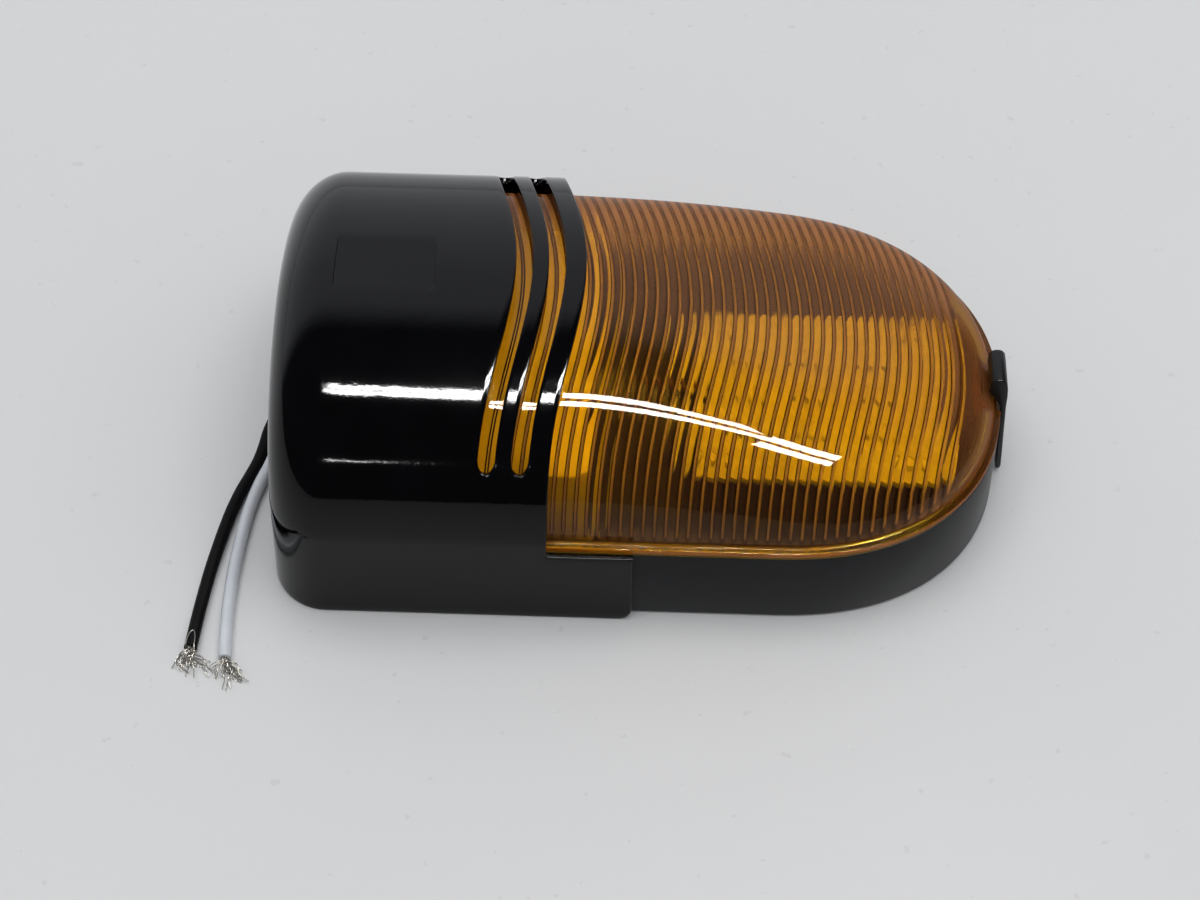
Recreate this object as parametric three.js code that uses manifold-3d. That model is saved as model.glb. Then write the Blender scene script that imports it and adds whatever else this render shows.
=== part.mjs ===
// Wall-mounted amber flashing light with a black hood, lying on its back plate.
//
// Millimetres. +Z points away from the wall or table that the back rests on, +X points from the cable
// end to the latch end, and Y runs across. The lamp is symmetric about the plane Y = 0 except for its
// wires. Inside this file x is counted from the cable end of the hood, and the last group moves
// everything so that the origin lies under the middle of the lamp.

import * as THREE from "three";
import { mergeVertices } from "three/addons/utils/BufferGeometryUtils.js";
import Module from "manifold-3d";

const wasm = await Module();
wasm.setup();

// ---- Driving dimensions ----------------------------------------------------------------------------

const FIT_GAP = 0.3; // clearance between touching pieces

// Hood: a vertical skirt, then a domed roof with flat shoulders
const HOOD_HALF_WIDTH = 53.2;
const HOOD_HEIGHT = 60.1;
const HOOD_WALL = 1.7;
const SKIRT_HEIGHT = 26;
const DOME_BASE = -1.9; // height from which the dome's curve is drawn
const DOME_POWER_Z = 4.2;
const DOME_POWER_Y = 1.8;
const HOOD_END_RADIUS = 13.2;
const HOOD_END_CROWN = 1.2; // how far the end wall bulges out at its middle
const HOOD_EDGE_X = 63.7; // front edge of the hood, at its sides
const HOOD_EDGE_BOW = 7; // how much further forward the edge is at the crown
const SLOT_WIDTH = 3.8;
const SLOT_BACKS = [15.9, 8.5]; // from the hood's edge back to each slot's rear side
const SLOT_END_Y = 46.8;
const TAB_END_X = 83;
const TAB_HEIGHT = 21.4;
const TAB_CORNER = 3;
const WIRE_NOTCH = { left: -4.5, right: 8.5, top: 8.2, corner: 2.5 };
const RECESS = { x0: 14, x1: 36.5, half: 10, corner: 3, depth: 0.7 };

// Outline shared by the base and the lens flange: straight sides, round tip, two corners at the cable end
const BODY_BACK_X = 3.4;
const BODY_TIP_X = 167.7;
const BODY_HALF_WIDTH = 51;
const BODY_CORNER = 11;
const TIP_START_X = 114.7;
const TIP_POWER = 2.27;

const BASE_FLOOR = 2.4;
const BASE_WALL = 2.2;
const BASE_HEIGHT = 20.5;
const LEDGE_TOP = 18.9;
const LEDGE_THICK = 2;
const LEDGE_WIDTH = 3;

const LENS_WALL = 2;
const FLANGE_BOTTOM = 20.8;
const FLANGE_TOP = 22.3;
const LENS_INSET = 1.6; // lens wall, in from the flange's edge
const LENS_RISE = 28.7; // crown of the long taper above the flange
const LENS_HOOD_SWELL = 0.125; // extra crown where the lens runs straight under the hood
const TAPER_START_X = 60;
const TAPER_POWER = 1.7;
const SWELL_START_X = 70;
const SWELL_END_X = 125;

// Latch: a see-saw clip at the tip, on a pin across the lamp. It leans a little towards the lens.
const LATCH_HALF_WIDTH = 5;
const LATCH_PIVOT_X = 164;
const LATCH_PIVOT_Z = 6;
const LATCH_OUTER_X = 169.8; // outer face at the bottom
const LATCH_LEAN = 0.045; // mm inwards per mm up
const LATCH_STRIP = 1.25;
const LATCH_BOTTOM = 0.9;
const LATCH_TOP = 31.6;
const LATCH_TOE_X = 164.4;
const PIN_RADIUS = 1.1;
const PIN_BORE_RADIUS = 1.4;
const NOTCH_HALF_WIDTH = 6.3;
const NOTCH_BACK_X = 161.4;
const NOTCH_GROOVE_X = 166.8; // face of the groove behind the latch, in the tray and the lens flange

const PCB = 1.6;
const LED_BOARD = { x0: 94, x1: 155.5, half: 25.6, corner: 5, bottom: 16.8 };
const DRIVER_BOARD = { x0: 29.5, x1: 69, half: 34, bottom: 8 };
const DRIVER_COVER = { x0: 20.5, x1: 73.4, half: 42, bottom: 2.7, top: 36.5, wall: 1.6, corner: 5 };

const WIRE_DIAMETER = 3;
const WIRE_EXIT_X = 2;
const WIRE_EXIT_Z = 4.4;
const STRAND_LENGTH = 7;

// The middle of the lamp's length, latch included, lies over the origin
const X_CENTRE = LATCH_OUTER_X / 2;

// ---- Materials -------------------------------------------------------------------------------------

const material = (color, roughness, metalness = 0) =>
  new THREE.MeshStandardMaterial({ color, roughness, metalness });

const GLOSS_BLACK = material(0x0b0c0e, 0.15);
const SATIN_BLACK = material(0x1b1d20, 0.45);
const AMBER = material(0xd98a12, 0.06);
const WHITE_PLASTIC = material(0xf2f1ec, 0.5);
const WHITE_MASK = material(0xf6f4ea, 0.35);
const GREEN_MASK = material(0x1d5b34, 0.4);
const LED_YELLOW = material(0xf2d25c, 0.3);
const RUBBER = material(0x17181a, 0.8);
const STEEL = material(0xb9bcc0, 0.3, 1);
const COPPER = material(0xb87333, 0.35, 1);
const CHIP_BLACK = material(0x141416, 0.5);
const SLEEVE_BLUE = material(0x243a66, 0.4);
const PVC_BLACK = material(0x111113, 0.4);
const PVC_WHITE = material(0xe9ebee, 0.4);
const TINNED = material(0xc9c7c0, 0.35, 1);

// ---- Helpers ---------------------------------------------------------------------------------------

const object = new THREE.Group();

// A closed three.js geometry as a manifold-3d solid.
function solid(geometry) {
  const plain = geometry.index ? geometry.toNonIndexed() : geometry.clone();
  plain.deleteAttribute("normal");
  plain.deleteAttribute("uv");
  const merged = mergeVertices(plain, 1e-4);
  return new wasm.Manifold(
    new wasm.Mesh({
      numProp: 3,
      vertProperties: merged.attributes.position.array,
      triVerts: new Uint32Array(merged.index.array),
    }),
  );
}

function geometryOf(made) {
  const mesh = made.getMesh();
  const geometry = new THREE.BufferGeometry();
  geometry.setAttribute("position", new THREE.BufferAttribute(mesh.vertProperties, 3));
  geometry.setIndex(new THREE.BufferAttribute(mesh.triVerts, 1));
  const faceted = geometry.toNonIndexed();
  faceted.computeVertexNormals();
  return faceted;
}

// Adds a solid or a geometry to the lamp as one named piece.
function piece(name, shape, finish) {
  const geometry = shape.isBufferGeometry ? shape : geometryOf(shape);
  const mesh = new THREE.Mesh(geometry, finish);
  mesh.name = name;
  object.add(mesh);
  return mesh;
}

const unite = (first, ...rest) => rest.reduce((sum, part) => sum.add(part), first);

// A box between two corners.
function block([x0, y0, z0], [x1, y1, z1]) {
  const geometry = new THREE.BoxGeometry(x1 - x0, y1 - y0, z1 - z0);
  return geometry.translate((x0 + x1) / 2, (y0 + y1) / 2, (z0 + z1) / 2);
}

// An upright round post, or a disc.
function post(x, y, z0, z1, radius, segments = 20) {
  const geometry = new THREE.CylinderGeometry(radius, radius, z1 - z0, segments);
  return geometry.rotateX(Math.PI / 2).translate(x, y, (z0 + z1) / 2);
}

// A round bar along Y.
function crossBar(x, z, y0, y1, radius, segments = 20) {
  const geometry = new THREE.CylinderGeometry(radius, radius, y1 - y0, segments);
  return geometry.translate(x, (y0 + y1) / 2, z);
}

// A flat outline in X and Y, extruded from z0 to z1.
function plate(points, z0, z1, holes = []) {
  const shape = new THREE.Shape(points);
  shape.holes = holes.map((hole) => new THREE.Path(hole));
  const geometry = new THREE.ExtrudeGeometry(shape, { depth: z1 - z0, bevelEnabled: false });
  return geometry.translate(0, 0, z0);
}

// A side view in X and Z, extruded from y0 to y1.
function upright(outline, y0, y1) {
  const points = outline.map(([x, z]) => new THREE.Vector2(x, z));
  const geometry = new THREE.ExtrudeGeometry(new THREE.Shape(points), { depth: y1 - y0, bevelEnabled: false });
  return geometry.rotateX(Math.PI / 2).translate(0, y1, 0);
}

// A rounded rectangle in X and Y.
function roundedRectangle(x0, x1, half, corner, steps = 6) {
  const centres = [
    [x1 - corner, half - corner],
    [x0 + corner, half - corner],
    [x0 + corner, corner - half],
    [x1 - corner, corner - half],
  ];
  return centres.flatMap(([cx, cy], side) =>
    Array.from({ length: steps + 1 }, (_, i) => {
      const angle = ((side + i / steps) * Math.PI) / 2;
      return new THREE.Vector2(cx + corner * Math.cos(angle), cy + corner * Math.sin(angle));
    }),
  );
}

// A closed body through rings of points that all have the same count, with a fan on each end.
function loft(rings) {
  const count = rings[0].length;
  const positions = [];
  const push = (...points) => points.forEach((p) => positions.push(p.x, p.y, p.z));
  for (let r = 0; r + 1 < rings.length; r++) {
    for (let i = 0; i < count; i++) {
      const j = (i + 1) % count;
      const [a, b, c, d] = [rings[r][i], rings[r][j], rings[r + 1][j], rings[r + 1][i]];
      push(a, b, c);
      push(a, c, d);
    }
  }
  const cap = (ring, flip) => {
    const centre = ring.reduce((sum, p) => sum.add(p), new THREE.Vector3()).divideScalar(count);
    ring.forEach((p, i) => {
      const next = ring[(i + 1) % count];
      push(centre, ...(flip ? [next, p] : [p, next]));
    });
  };
  cap(rings[0], true);
  cap(rings[rings.length - 1], false);
  const geometry = new THREE.BufferGeometry();
  geometry.setAttribute("position", new THREE.Float32BufferAttribute(positions, 3));
  return geometry;
}

const blend = (x, from, to) => THREE.MathUtils.smoothstep(x, from, to);

// ---- The lamp's curves -----------------------------------------------------------------------------

// Half-width of the shared outline at x, moved in by inset.
function bodyHalfWidth(x, inset = 0) {
  const along = THREE.MathUtils.clamp((x - TIP_START_X) / (BODY_TIP_X - inset - TIP_START_X), 0, 1);
  return (BODY_HALF_WIDTH - inset) * Math.pow(1 - Math.pow(along, TIP_POWER), 1 / TIP_POWER);
}

// The shared outline moved in by inset, anticlockwise from the tip.
function bodyOutline(inset, tipSteps = 18, cornerSteps = 6) {
  const half = [];
  for (let i = 0; i <= tipSteps; i++) {
    const reach = Math.cos(((i / tipSteps) * Math.PI) / 2);
    const x = TIP_START_X + (BODY_TIP_X - inset - TIP_START_X) * Math.pow(reach, 2 / TIP_POWER);
    half.push(new THREE.Vector2(x, bodyHalfWidth(x, inset)));
  }
  half[0].y = 0;
  const radius = BODY_CORNER - inset;
  for (let i = 0; i <= cornerSteps; i++) {
    const angle = (1 + i / cornerSteps) * (Math.PI / 2);
    const x = BODY_BACK_X + BODY_CORNER + radius * Math.cos(angle);
    const y = BODY_HALF_WIDTH - BODY_CORNER + radius * Math.sin(angle);
    half.push(new THREE.Vector2(x, y));
  }
  const mirrored = half.slice(1).reverse().map((p) => new THREE.Vector2(p.x, -p.y));
  return [...half, ...mirrored];
}

// A loop of constant width that follows the outline.
const bodyRing = (outer, inner, z0, z1) => plate(bodyOutline(outer), z0, z1, [bodyOutline(inner)]);

// Front edge of the hood, and each slot behind it: straight on the sides, bowed forward over the crown.
const edgeX = (y) => {
  const across = Math.min(Math.abs(y) / HOOD_HALF_WIDTH, 1);
  return HOOD_EDGE_X + (HOOD_EDGE_BOW * (1 + Math.cos(Math.PI * across))) / 2;
};

// Height of the dome at y, for a hood section of the given half-width and height.
function domeHeight(y, halfWidth, height) {
  const rise = height - DOME_BASE;
  const skirtShare = Math.pow((SKIRT_HEIGHT - DOME_BASE) / rise, DOME_POWER_Z);
  const reach = halfWidth / Math.pow(1 - skirtShare, 1 / DOME_POWER_Y);
  const fall = Math.pow(Math.abs(y) / reach, DOME_POWER_Y);
  return DOME_BASE + rise * Math.pow(1 - fall, 1 / DOME_POWER_Z);
}

// One section of the hood at x, moved in by inset, with its skirt reaching down to bottom.
function hoodSection(x, inset, bottom, crown = 0, steps = 26) {
  const halfWidth = HOOD_HALF_WIDTH - inset;
  const height = HOOD_HEIGHT - inset;
  const bulge = (y) => crown * Math.pow(y / HOOD_HALF_WIDTH, 2);
  const ring = [new THREE.Vector3(x + bulge(halfWidth), halfWidth, bottom)];
  for (let i = 0; i <= steps; i++) {
    const y = halfWidth * Math.cos((i / steps) * Math.PI);
    ring.push(new THREE.Vector3(x + bulge(y), y, domeHeight(y, halfWidth, height)));
  }
  ring.push(new THREE.Vector3(x + bulge(halfWidth), -halfWidth, bottom));
  return ring;
}

// The hood's space as a solid: a rounded end, then a straight run to endX.
function hoodBody(inset, bottom, endX) {
  const rings = [];
  const radius = HOOD_END_RADIUS - inset;
  for (let i = 0; i <= 7; i++) {
    const angle = ((i / 7) * Math.PI) / 2;
    const x = inset + radius * (1 - Math.cos(angle));
    const crown = HOOD_END_CROWN * Math.cos(angle);
    rings.push(hoodSection(x, inset + radius * (1 - Math.sin(angle)), bottom, crown));
  }
  rings.push(hoodSection(endX, inset, bottom));
  return solid(loft(rings));
}

// Half-width, crown height over the flange and section powers of the lens at x.
function lensShape(x, inset) {
  const tipX = BODY_TIP_X - LENS_INSET - inset;
  const along = THREE.MathUtils.clamp((x - TAPER_START_X) / (tipX - TAPER_START_X), 0, 1);
  const taper = Math.pow(1 - Math.pow(along, TAPER_POWER), 1 / TAPER_POWER);
  const free = blend(x, SWELL_START_X, SWELL_END_X);
  return {
    halfWidth: bodyHalfWidth(x, LENS_INSET + inset),
    rise: LENS_RISE * taper * (1 + LENS_HOOD_SWELL * (1 - free)) - inset * Math.sqrt(taper),
    powerY: THREE.MathUtils.lerp(2.3, 3.9, free),
    powerZ: THREE.MathUtils.lerp(2.2, 1.8, free),
  };
}

function lensSection(x, shape, bottom, steps = 26) {
  const ring = [new THREE.Vector3(x, shape.halfWidth, bottom)];
  for (let i = 0; i <= steps; i++) {
    const across = Math.cos((i / steps) * Math.PI);
    const lift = Math.pow(1 - Math.pow(Math.abs(across), shape.powerY), 1 / shape.powerZ);
    ring.push(new THREE.Vector3(x, across * shape.halfWidth, FLANGE_TOP + shape.rise * lift));
  }
  ring.push(new THREE.Vector3(x, -shape.halfWidth, bottom));
  return ring;
}

// The lens's space as a solid, moved in by inset: rounded cable end, straight run, long taper to the tip.
function lensBody(inset, bottom) {
  const backX = BODY_BACK_X + LENS_INSET + inset;
  const endRadius = 10 - inset;
  const tipX = BODY_TIP_X - LENS_INSET - inset;
  const rings = [];
  for (let i = 0; i <= 5; i++) {
    const angle = ((i / 5) * Math.PI) / 2;
    const x = backX + endRadius * (1 - Math.cos(angle));
    const pulledIn = endRadius * (1 - Math.sin(angle));
    const shape = lensShape(x, inset);
    shape.halfWidth -= pulledIn;
    shape.rise -= pulledIn;
    rings.push(lensSection(x, shape, bottom));
  }
  const taperRings = 16;
  for (let i = 0; i <= taperRings; i++) {
    const share = Math.sin(((i / taperRings) * Math.PI) / 2);
    const x = SWELL_START_X + (tipX - 0.15 - SWELL_START_X) * share;
    rings.push(lensSection(x, lensShape(x, inset), bottom));
  }
  return solid(loft(rings));
}

// ---- Base tray -------------------------------------------------------------------------------------

const ledPosts = [LED_BOARD.x0 + 7, LED_BOARD.x1 - 9].flatMap((x) => [-20, 20].map((y) => [x, y]));
const driverPosts = [
  [DRIVER_BOARD.x0 + 4, -DRIVER_BOARD.half + 5],
  [DRIVER_BOARD.x1 - 4, DRIVER_BOARD.half - 5],
];
const CLAMP_X = 13.5;
const CLAMP_SCREW_Y = [-8.5, 12.9];
const SCREW_HOLE = 1.3;
const KNOCK_OUT_RADIUS = 2.4;
const KNOCK_OUTS = [[81, -30], [81, 30], [140, 0]];

function makeBase() {
  let base = unite(
    solid(plate(bodyOutline(0), 0, BASE_FLOOR)),
    solid(bodyRing(0, BASE_WALL, 0.5, BASE_HEIGHT)),
    solid(bodyRing(BASE_WALL - 0.4, BASE_WALL + LEDGE_WIDTH, LEDGE_TOP - LEDGE_THICK, LEDGE_TOP)),
  );
  const pillars = [
    ...ledPosts.map((at) => [...at, LED_BOARD.bottom - FIT_GAP, 3.6]),
    ...driverPosts.map((at) => [...at, DRIVER_BOARD.bottom - FIT_GAP, 3.2]),
    ...CLAMP_SCREW_Y.map((y) => [CLAMP_X, y, 6.2 - FIT_GAP, 2.9]),
  ];
  for (const [x, y, top, radius] of pillars) {
    base = base.add(solid(post(x, y, 1, top, radius, 16)));
    base = base.subtract(solid(post(x, y, BASE_FLOOR, top + 1, SCREW_HOLE + FIT_GAP, 12)));
  }
  // Stiffening ribs between the board posts
  for (const [x] of ledPosts.filter(([, y]) => y > 0)) {
    base = base.add(solid(block([x - 0.8, -17, 1], [x + 0.8, 17, 6])));
  }
  // Ears for the latch pin, inside the tip
  for (const side of [-1, 1]) {
    const [y0, y1] = [side * 3.5, side * 5.7].sort((a, b) => a - b);
    base = base.add(solid(block([161.4, y0, 1], [165.8, y1, 9])));
  }
  base = base.subtract(solid(crossBar(LATCH_PIVOT_X, LATCH_PIVOT_Z, -6.4, 6.4, PIN_BORE_RADIUS)));
  // Slot through the tip wall for the latch's arm, and a groove outside for its strip
  base = base.subtract(solid(block([164.6, -3.3, 3.2], [170, 3.3, 9.4])));
  const grooveSide = LATCH_HALF_WIDTH + 0.6;
  base = base.subtract(solid(block([NOTCH_GROOVE_X, -grooveSide, -1], [170, grooveSide, BASE_HEIGHT + 1])));
  // Notch for the cable grommet in the end wall
  base = base.subtract(solid(block([0, -6.9, BASE_FLOOR + 0.1], [BODY_BACK_X + 3, 10.9, 9.2])));
  // Knock-outs for the wall screws: blind recesses in the back
  for (const [x, y] of KNOCK_OUTS) {
    base = base.subtract(solid(post(x, y, -1, BASE_FLOOR - 1, KNOCK_OUT_RADIUS, 16)));
  }
  return base;
}
piece("base_tray", makeBase(), SATIN_BLACK);
piece("lens_gasket", bodyRing(BASE_WALL + FIT_GAP, BASE_WALL + 2.4, LEDGE_TOP + FIT_GAP, BASE_HEIGHT), RUBBER);

// ---- Lens ------------------------------------------------------------------------------------------

function makeLens() {
  const outside = lensBody(0, FLANGE_BOTTOM);
  const shell = outside.subtract(lensBody(LENS_WALL, FLANGE_BOTTOM - 5));
  const flange = solid(bodyRing(0, LENS_INSET + LENS_WALL - 0.2, FLANGE_BOTTOM, FLANGE_TOP));
  // Pocket that the latch's head drops into. Its floor is a ramp that the head's toe bears on.
  const side = NOTCH_HALF_WIDTH;
  const pocketBlock = block([NOTCH_BACK_X - 1.6, -side - 1.6, FLANGE_BOTTOM], [BODY_TIP_X - 0.6, side + 1.6, 40]);
  const pocket = solid(pocketBlock).intersect(outside);
  const mouth = [
    [NOTCH_BACK_X, 45],
    [NOTCH_BACK_X, 27.4],
    [163.2, 27.4],
    [NOTCH_GROOVE_X, FLANGE_TOP],
    [NOTCH_GROOVE_X, FLANGE_BOTTOM - 1],
    [BODY_TIP_X + 5, FLANGE_BOTTOM - 1],
    [BODY_TIP_X + 5, 45],
  ];
  return unite(shell, flange, pocket).subtract(solid(upright(mouth, -side, side)));
}
piece("lens", makeLens(), AMBER);

// ---- Hood ------------------------------------------------------------------------------------------

// A band across the hood, in plan, whose long sides follow the front edge. Its two ends are round.
function slotOutline(back, steps = 16) {
  const radius = SLOT_WIDTH / 2;
  const middleX = (y) => edgeX(y) - back + radius;
  const straight = SLOT_END_Y - radius;
  const along = Array.from({ length: steps + 1 }, (_, i) => straight * (1 - (2 * i) / steps));
  const roundEnd = (side) =>
    [1, 2, 3, 4].map((i) => {
      const angle = side * (i / 5) * Math.PI;
      const x = middleX(straight) + radius * side * Math.cos(angle);
      return new THREE.Vector2(x, side * (straight + radius * Math.abs(Math.sin(angle))));
    });
  const rear = along.map((y) => new THREE.Vector2(middleX(y) - radius, y));
  const front = along.map((y) => new THREE.Vector2(middleX(y) + radius, y)).reverse();
  return [...rear, ...roundEnd(-1), ...front, ...roundEnd(1)];
}

function makeHood() {
  const endX = TAB_END_X + 2;
  let hood = hoodBody(0, 0, endX).subtract(hoodBody(HOOD_WALL, -5, endX + 5));
  // Front edge above the side tabs
  const edge = [];
  for (let i = 0; i <= 24; i++) {
    const y = HOOD_HALF_WIDTH * (1 - i / 12) * 1.05;
    edge.push(new THREE.Vector2(edgeX(y), y));
  }
  const beyond = [new THREE.Vector2(endX + 9, -60), new THREE.Vector2(endX + 9, 60)];
  hood = hood.subtract(solid(plate([...edge, ...beyond], TAB_HEIGHT, HOOD_HEIGHT + 9)));
  // End of the side tabs, with a rounded lower corner
  hood = hood.subtract(solid(block([TAB_END_X, -60, -9], [endX + 9, 60, TAB_HEIGHT + 1])));
  const corner = solid(block([TAB_END_X - TAB_CORNER, -60, -9], [TAB_END_X + 1, 60, TAB_CORNER]));
  const round = solid(crossBar(TAB_END_X - TAB_CORNER, TAB_CORNER, -61, 61, TAB_CORNER, 24));
  hood = hood.subtract(corner.subtract(round));
  for (const back of SLOT_BACKS) {
    hood = hood.subtract(solid(plate(slotOutline(back), SKIRT_HEIGHT + 4, HOOD_HEIGHT + 9)));
  }
  // Arched notch for the wires, open at the bottom
  const { left, right, top, corner: arch } = WIRE_NOTCH;
  hood = hood.subtract(solid(block([-9, left, -9], [9, right, top - arch])));
  hood = hood.subtract(solid(block([-9, left + arch, -9], [9, right - arch, top])));
  for (const y of [left + arch, right - arch]) {
    const bar = new THREE.CylinderGeometry(arch, arch, 18, 16);
    hood = hood.subtract(solid(bar.rotateZ(Math.PI / 2).translate(0, y, top - arch)));
  }
  // Shallow flat for a label on the crown
  const flat = roundedRectangle(RECESS.x0, RECESS.x1, RECESS.half, RECESS.corner, 4);
  return hood.subtract(solid(plate(flat, HOOD_HEIGHT - RECESS.depth, HOOD_HEIGHT + 9)));
}
piece("hood", makeHood(), GLOSS_BLACK);

// ---- Latch -----------------------------------------------------------------------------------------

// The latch's outer face leans towards the lens as it rises.
const latchOuterX = (z) => LATCH_OUTER_X - LATCH_LEAN * (z - LATCH_BOTTOM);

function makeLatch() {
  const neck = FLANGE_TOP + 0.3;
  const outerAt = (z, out = 0) => [latchOuterX(z) + out, z];
  // Side view: thin strip below, then a head whose toe leans over the ramp of the lens
  const clip = [
    outerAt(LATCH_BOTTOM, -LATCH_STRIP),
    outerAt(LATCH_BOTTOM, -0.3),
    outerAt(LATCH_BOTTOM + 1),
    outerAt(neck),
    outerAt(26, 0.15),
    outerAt(28.5, 0.1),
    outerAt(30.5, -0.25),
    outerAt(LATCH_TOP - 0.3, -0.8),
    outerAt(LATCH_TOP, -1.5),
    [LATCH_TOE_X + 1.5, LATCH_TOP],
    [LATCH_TOE_X + 0.6, LATCH_TOP - 0.4],
    [LATCH_TOE_X, LATCH_TOP - 1.5],
    [LATCH_TOE_X, 28.2],
    [LATCH_TOE_X + 0.5, 26.8],
    outerAt(neck, -LATCH_STRIP),
  ];
  const strip = upright(clip, -LATCH_HALF_WIDTH, LATCH_HALF_WIDTH);
  // Arm through the base wall, ending in an eye round the pin
  const armEnd = latchOuterX(LATCH_PIVOT_Z) - LATCH_STRIP / 2;
  const arm = block([LATCH_PIVOT_X, -2.8, LATCH_PIVOT_Z - 1.4], [armEnd, 2.8, LATCH_PIVOT_Z + 1.4]);
  const eye = crossBar(LATCH_PIVOT_X, LATCH_PIVOT_Z, -2.8, 2.8, 2.4);
  const bore = crossBar(LATCH_PIVOT_X, LATCH_PIVOT_Z, -4, 4, PIN_BORE_RADIUS);
  return unite(solid(strip), solid(arm), solid(eye)).subtract(solid(bore));
}
piece("latch_clip", makeLatch(), SATIN_BLACK);
piece("latch_pin", crossBar(LATCH_PIVOT_X, LATCH_PIVOT_Z, -5.9, 5.9, PIN_RADIUS), STEEL);

// ---- Light board -----------------------------------------------------------------------------------

// A pan-head screw that stands in a post: head above the sheet it holds, shank below.
function screw(name, x, y, sheetTop, shank, headRadius = 2.6) {
  const headBottom = sheetTop + FIT_GAP;
  const head = solid(post(x, y, headBottom, headBottom + 1.8, headRadius, 16));
  const slot = solid(block([x - headRadius - 1, y - 0.4, headBottom + 1.1], [x + headRadius + 1, y + 0.4, 99]));
  const body = solid(post(x, y, headBottom - shank, headBottom + 0.5, SCREW_HOLE, 10));
  piece(name, head.subtract(slot).add(body), STEEL);
}

const ledBoardTop = LED_BOARD.bottom + PCB;
const clearances = ledPosts.map(([x, y]) =>
  Array.from({ length: 12 }, (_, i) => {
    const angle = (-i / 12) * 2 * Math.PI;
    return new THREE.Vector2(x + 1.7 * Math.cos(angle), y + 1.7 * Math.sin(angle));
  }),
);
const ledOutline = roundedRectangle(LED_BOARD.x0, LED_BOARD.x1, LED_BOARD.half, LED_BOARD.corner);
piece("led_board", plate(ledOutline, LED_BOARD.bottom, ledBoardTop, clearances), WHITE_MASK);
ledPosts.forEach(([x, y], i) => screw(`led_board_screw_${i + 1}`, x, y, ledBoardTop, 7));

const ledRows = [108, 123.5, 139];
const ledColumns = [-11, 0, 11];
ledRows.forEach((x, row) => {
  ledColumns.forEach((y, column) => {
    const z0 = ledBoardTop + FIT_GAP;
    const body = solid(block([x - 2.5, y - 2.5, z0], [x + 2.5, y + 2.5, z0 + 1.4]));
    const window = solid(post(x, y, z0 + 0.9, z0 + 2, 1.9, 16));
    piece(`led_${row * ledColumns.length + column + 1}`, body.subtract(window), LED_YELLOW);
  });
});

// ---- Driver ----------------------------------------------------------------------------------------

const driverTop = DRIVER_BOARD.bottom + PCB;
const onDriver = driverTop + FIT_GAP;
const driverHoles = driverPosts.map(([x, y]) =>
  Array.from({ length: 12 }, (_, i) => {
    const angle = (-i / 12) * 2 * Math.PI;
    return new THREE.Vector2(x + 1.7 * Math.cos(angle), y + 1.7 * Math.sin(angle));
  }),
);
const driverOutline = roundedRectangle(DRIVER_BOARD.x0, DRIVER_BOARD.x1, DRIVER_BOARD.half, 2, 3);
piece("driver_board", plate(driverOutline, DRIVER_BOARD.bottom, driverTop, driverHoles), GREEN_MASK);
driverPosts.forEach(([x, y], i) => screw(`driver_screw_${i + 1}`, x, y, driverTop, 5));

piece("capacitor_large", post(58, -14, onDriver, onDriver + 14, 6, 20), SLEEVE_BLUE);
piece("capacitor_small", post(44, -24, onDriver, onDriver + 11, 4, 18), SLEEVE_BLUE);
const ringCore = solid(post(43, 19, onDriver, onDriver + 7, 8, 24));
piece("choke", ringCore.subtract(solid(post(43, 19, onDriver - 1, onDriver + 8, 3.5, 20))), COPPER);
piece("bridge_rectifier", block([37, -5, onDriver], [42, 6, onDriver + 9]), CHIP_BLACK);
piece("flasher_chip", block([50, 4, onDriver], [55, 11, onDriver + 1.8]), CHIP_BLACK);

function makeDriverCover() {
  const { x0, x1, half, bottom, top, wall, corner } = DRIVER_COVER;
  const outside = solid(plate(roundedRectangle(x0, x1, half, corner), bottom, top));
  const inside = plate(roundedRectangle(x0 + wall, x1 - wall, half - wall, corner - wall), bottom - 1, top - wall);
  const cover = outside.subtract(solid(inside));
  // Ways in for the supply wires and out for the wires to the light board
  const supplyWay = block([x0 - 1, -6, bottom - 1], [x0 + 5, 9, 11.6]);
  const boardWay = block([x1 - 5, -6, bottom - 1], [x1 + 1, 6, 15]);
  return cover.subtract(solid(supplyWay)).subtract(solid(boardWay));
}
piece("driver_cover", makeDriverCover(), WHITE_PLASTIC);

// ---- Wires -----------------------------------------------------------------------------------------

// A round wire through the given points. Its section has eight sides.
function wire(points, diameter, steps) {
  const section = new THREE.Shape(
    Array.from({ length: 8 }, (_, i) => {
      const angle = (i / 8) * 2 * Math.PI;
      return new THREE.Vector2((diameter / 2) * Math.cos(angle), (diameter / 2) * Math.sin(angle));
    }),
  );
  const path = new THREE.CatmullRomCurve3(points.map((p) => new THREE.Vector3(...p)), false, "centripetal");
  return new THREE.ExtrudeGeometry(section, { steps, extrudePath: path, bevelEnabled: false });
}

const BLACK_Y = 5;
const WHITE_Y = -1;

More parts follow.
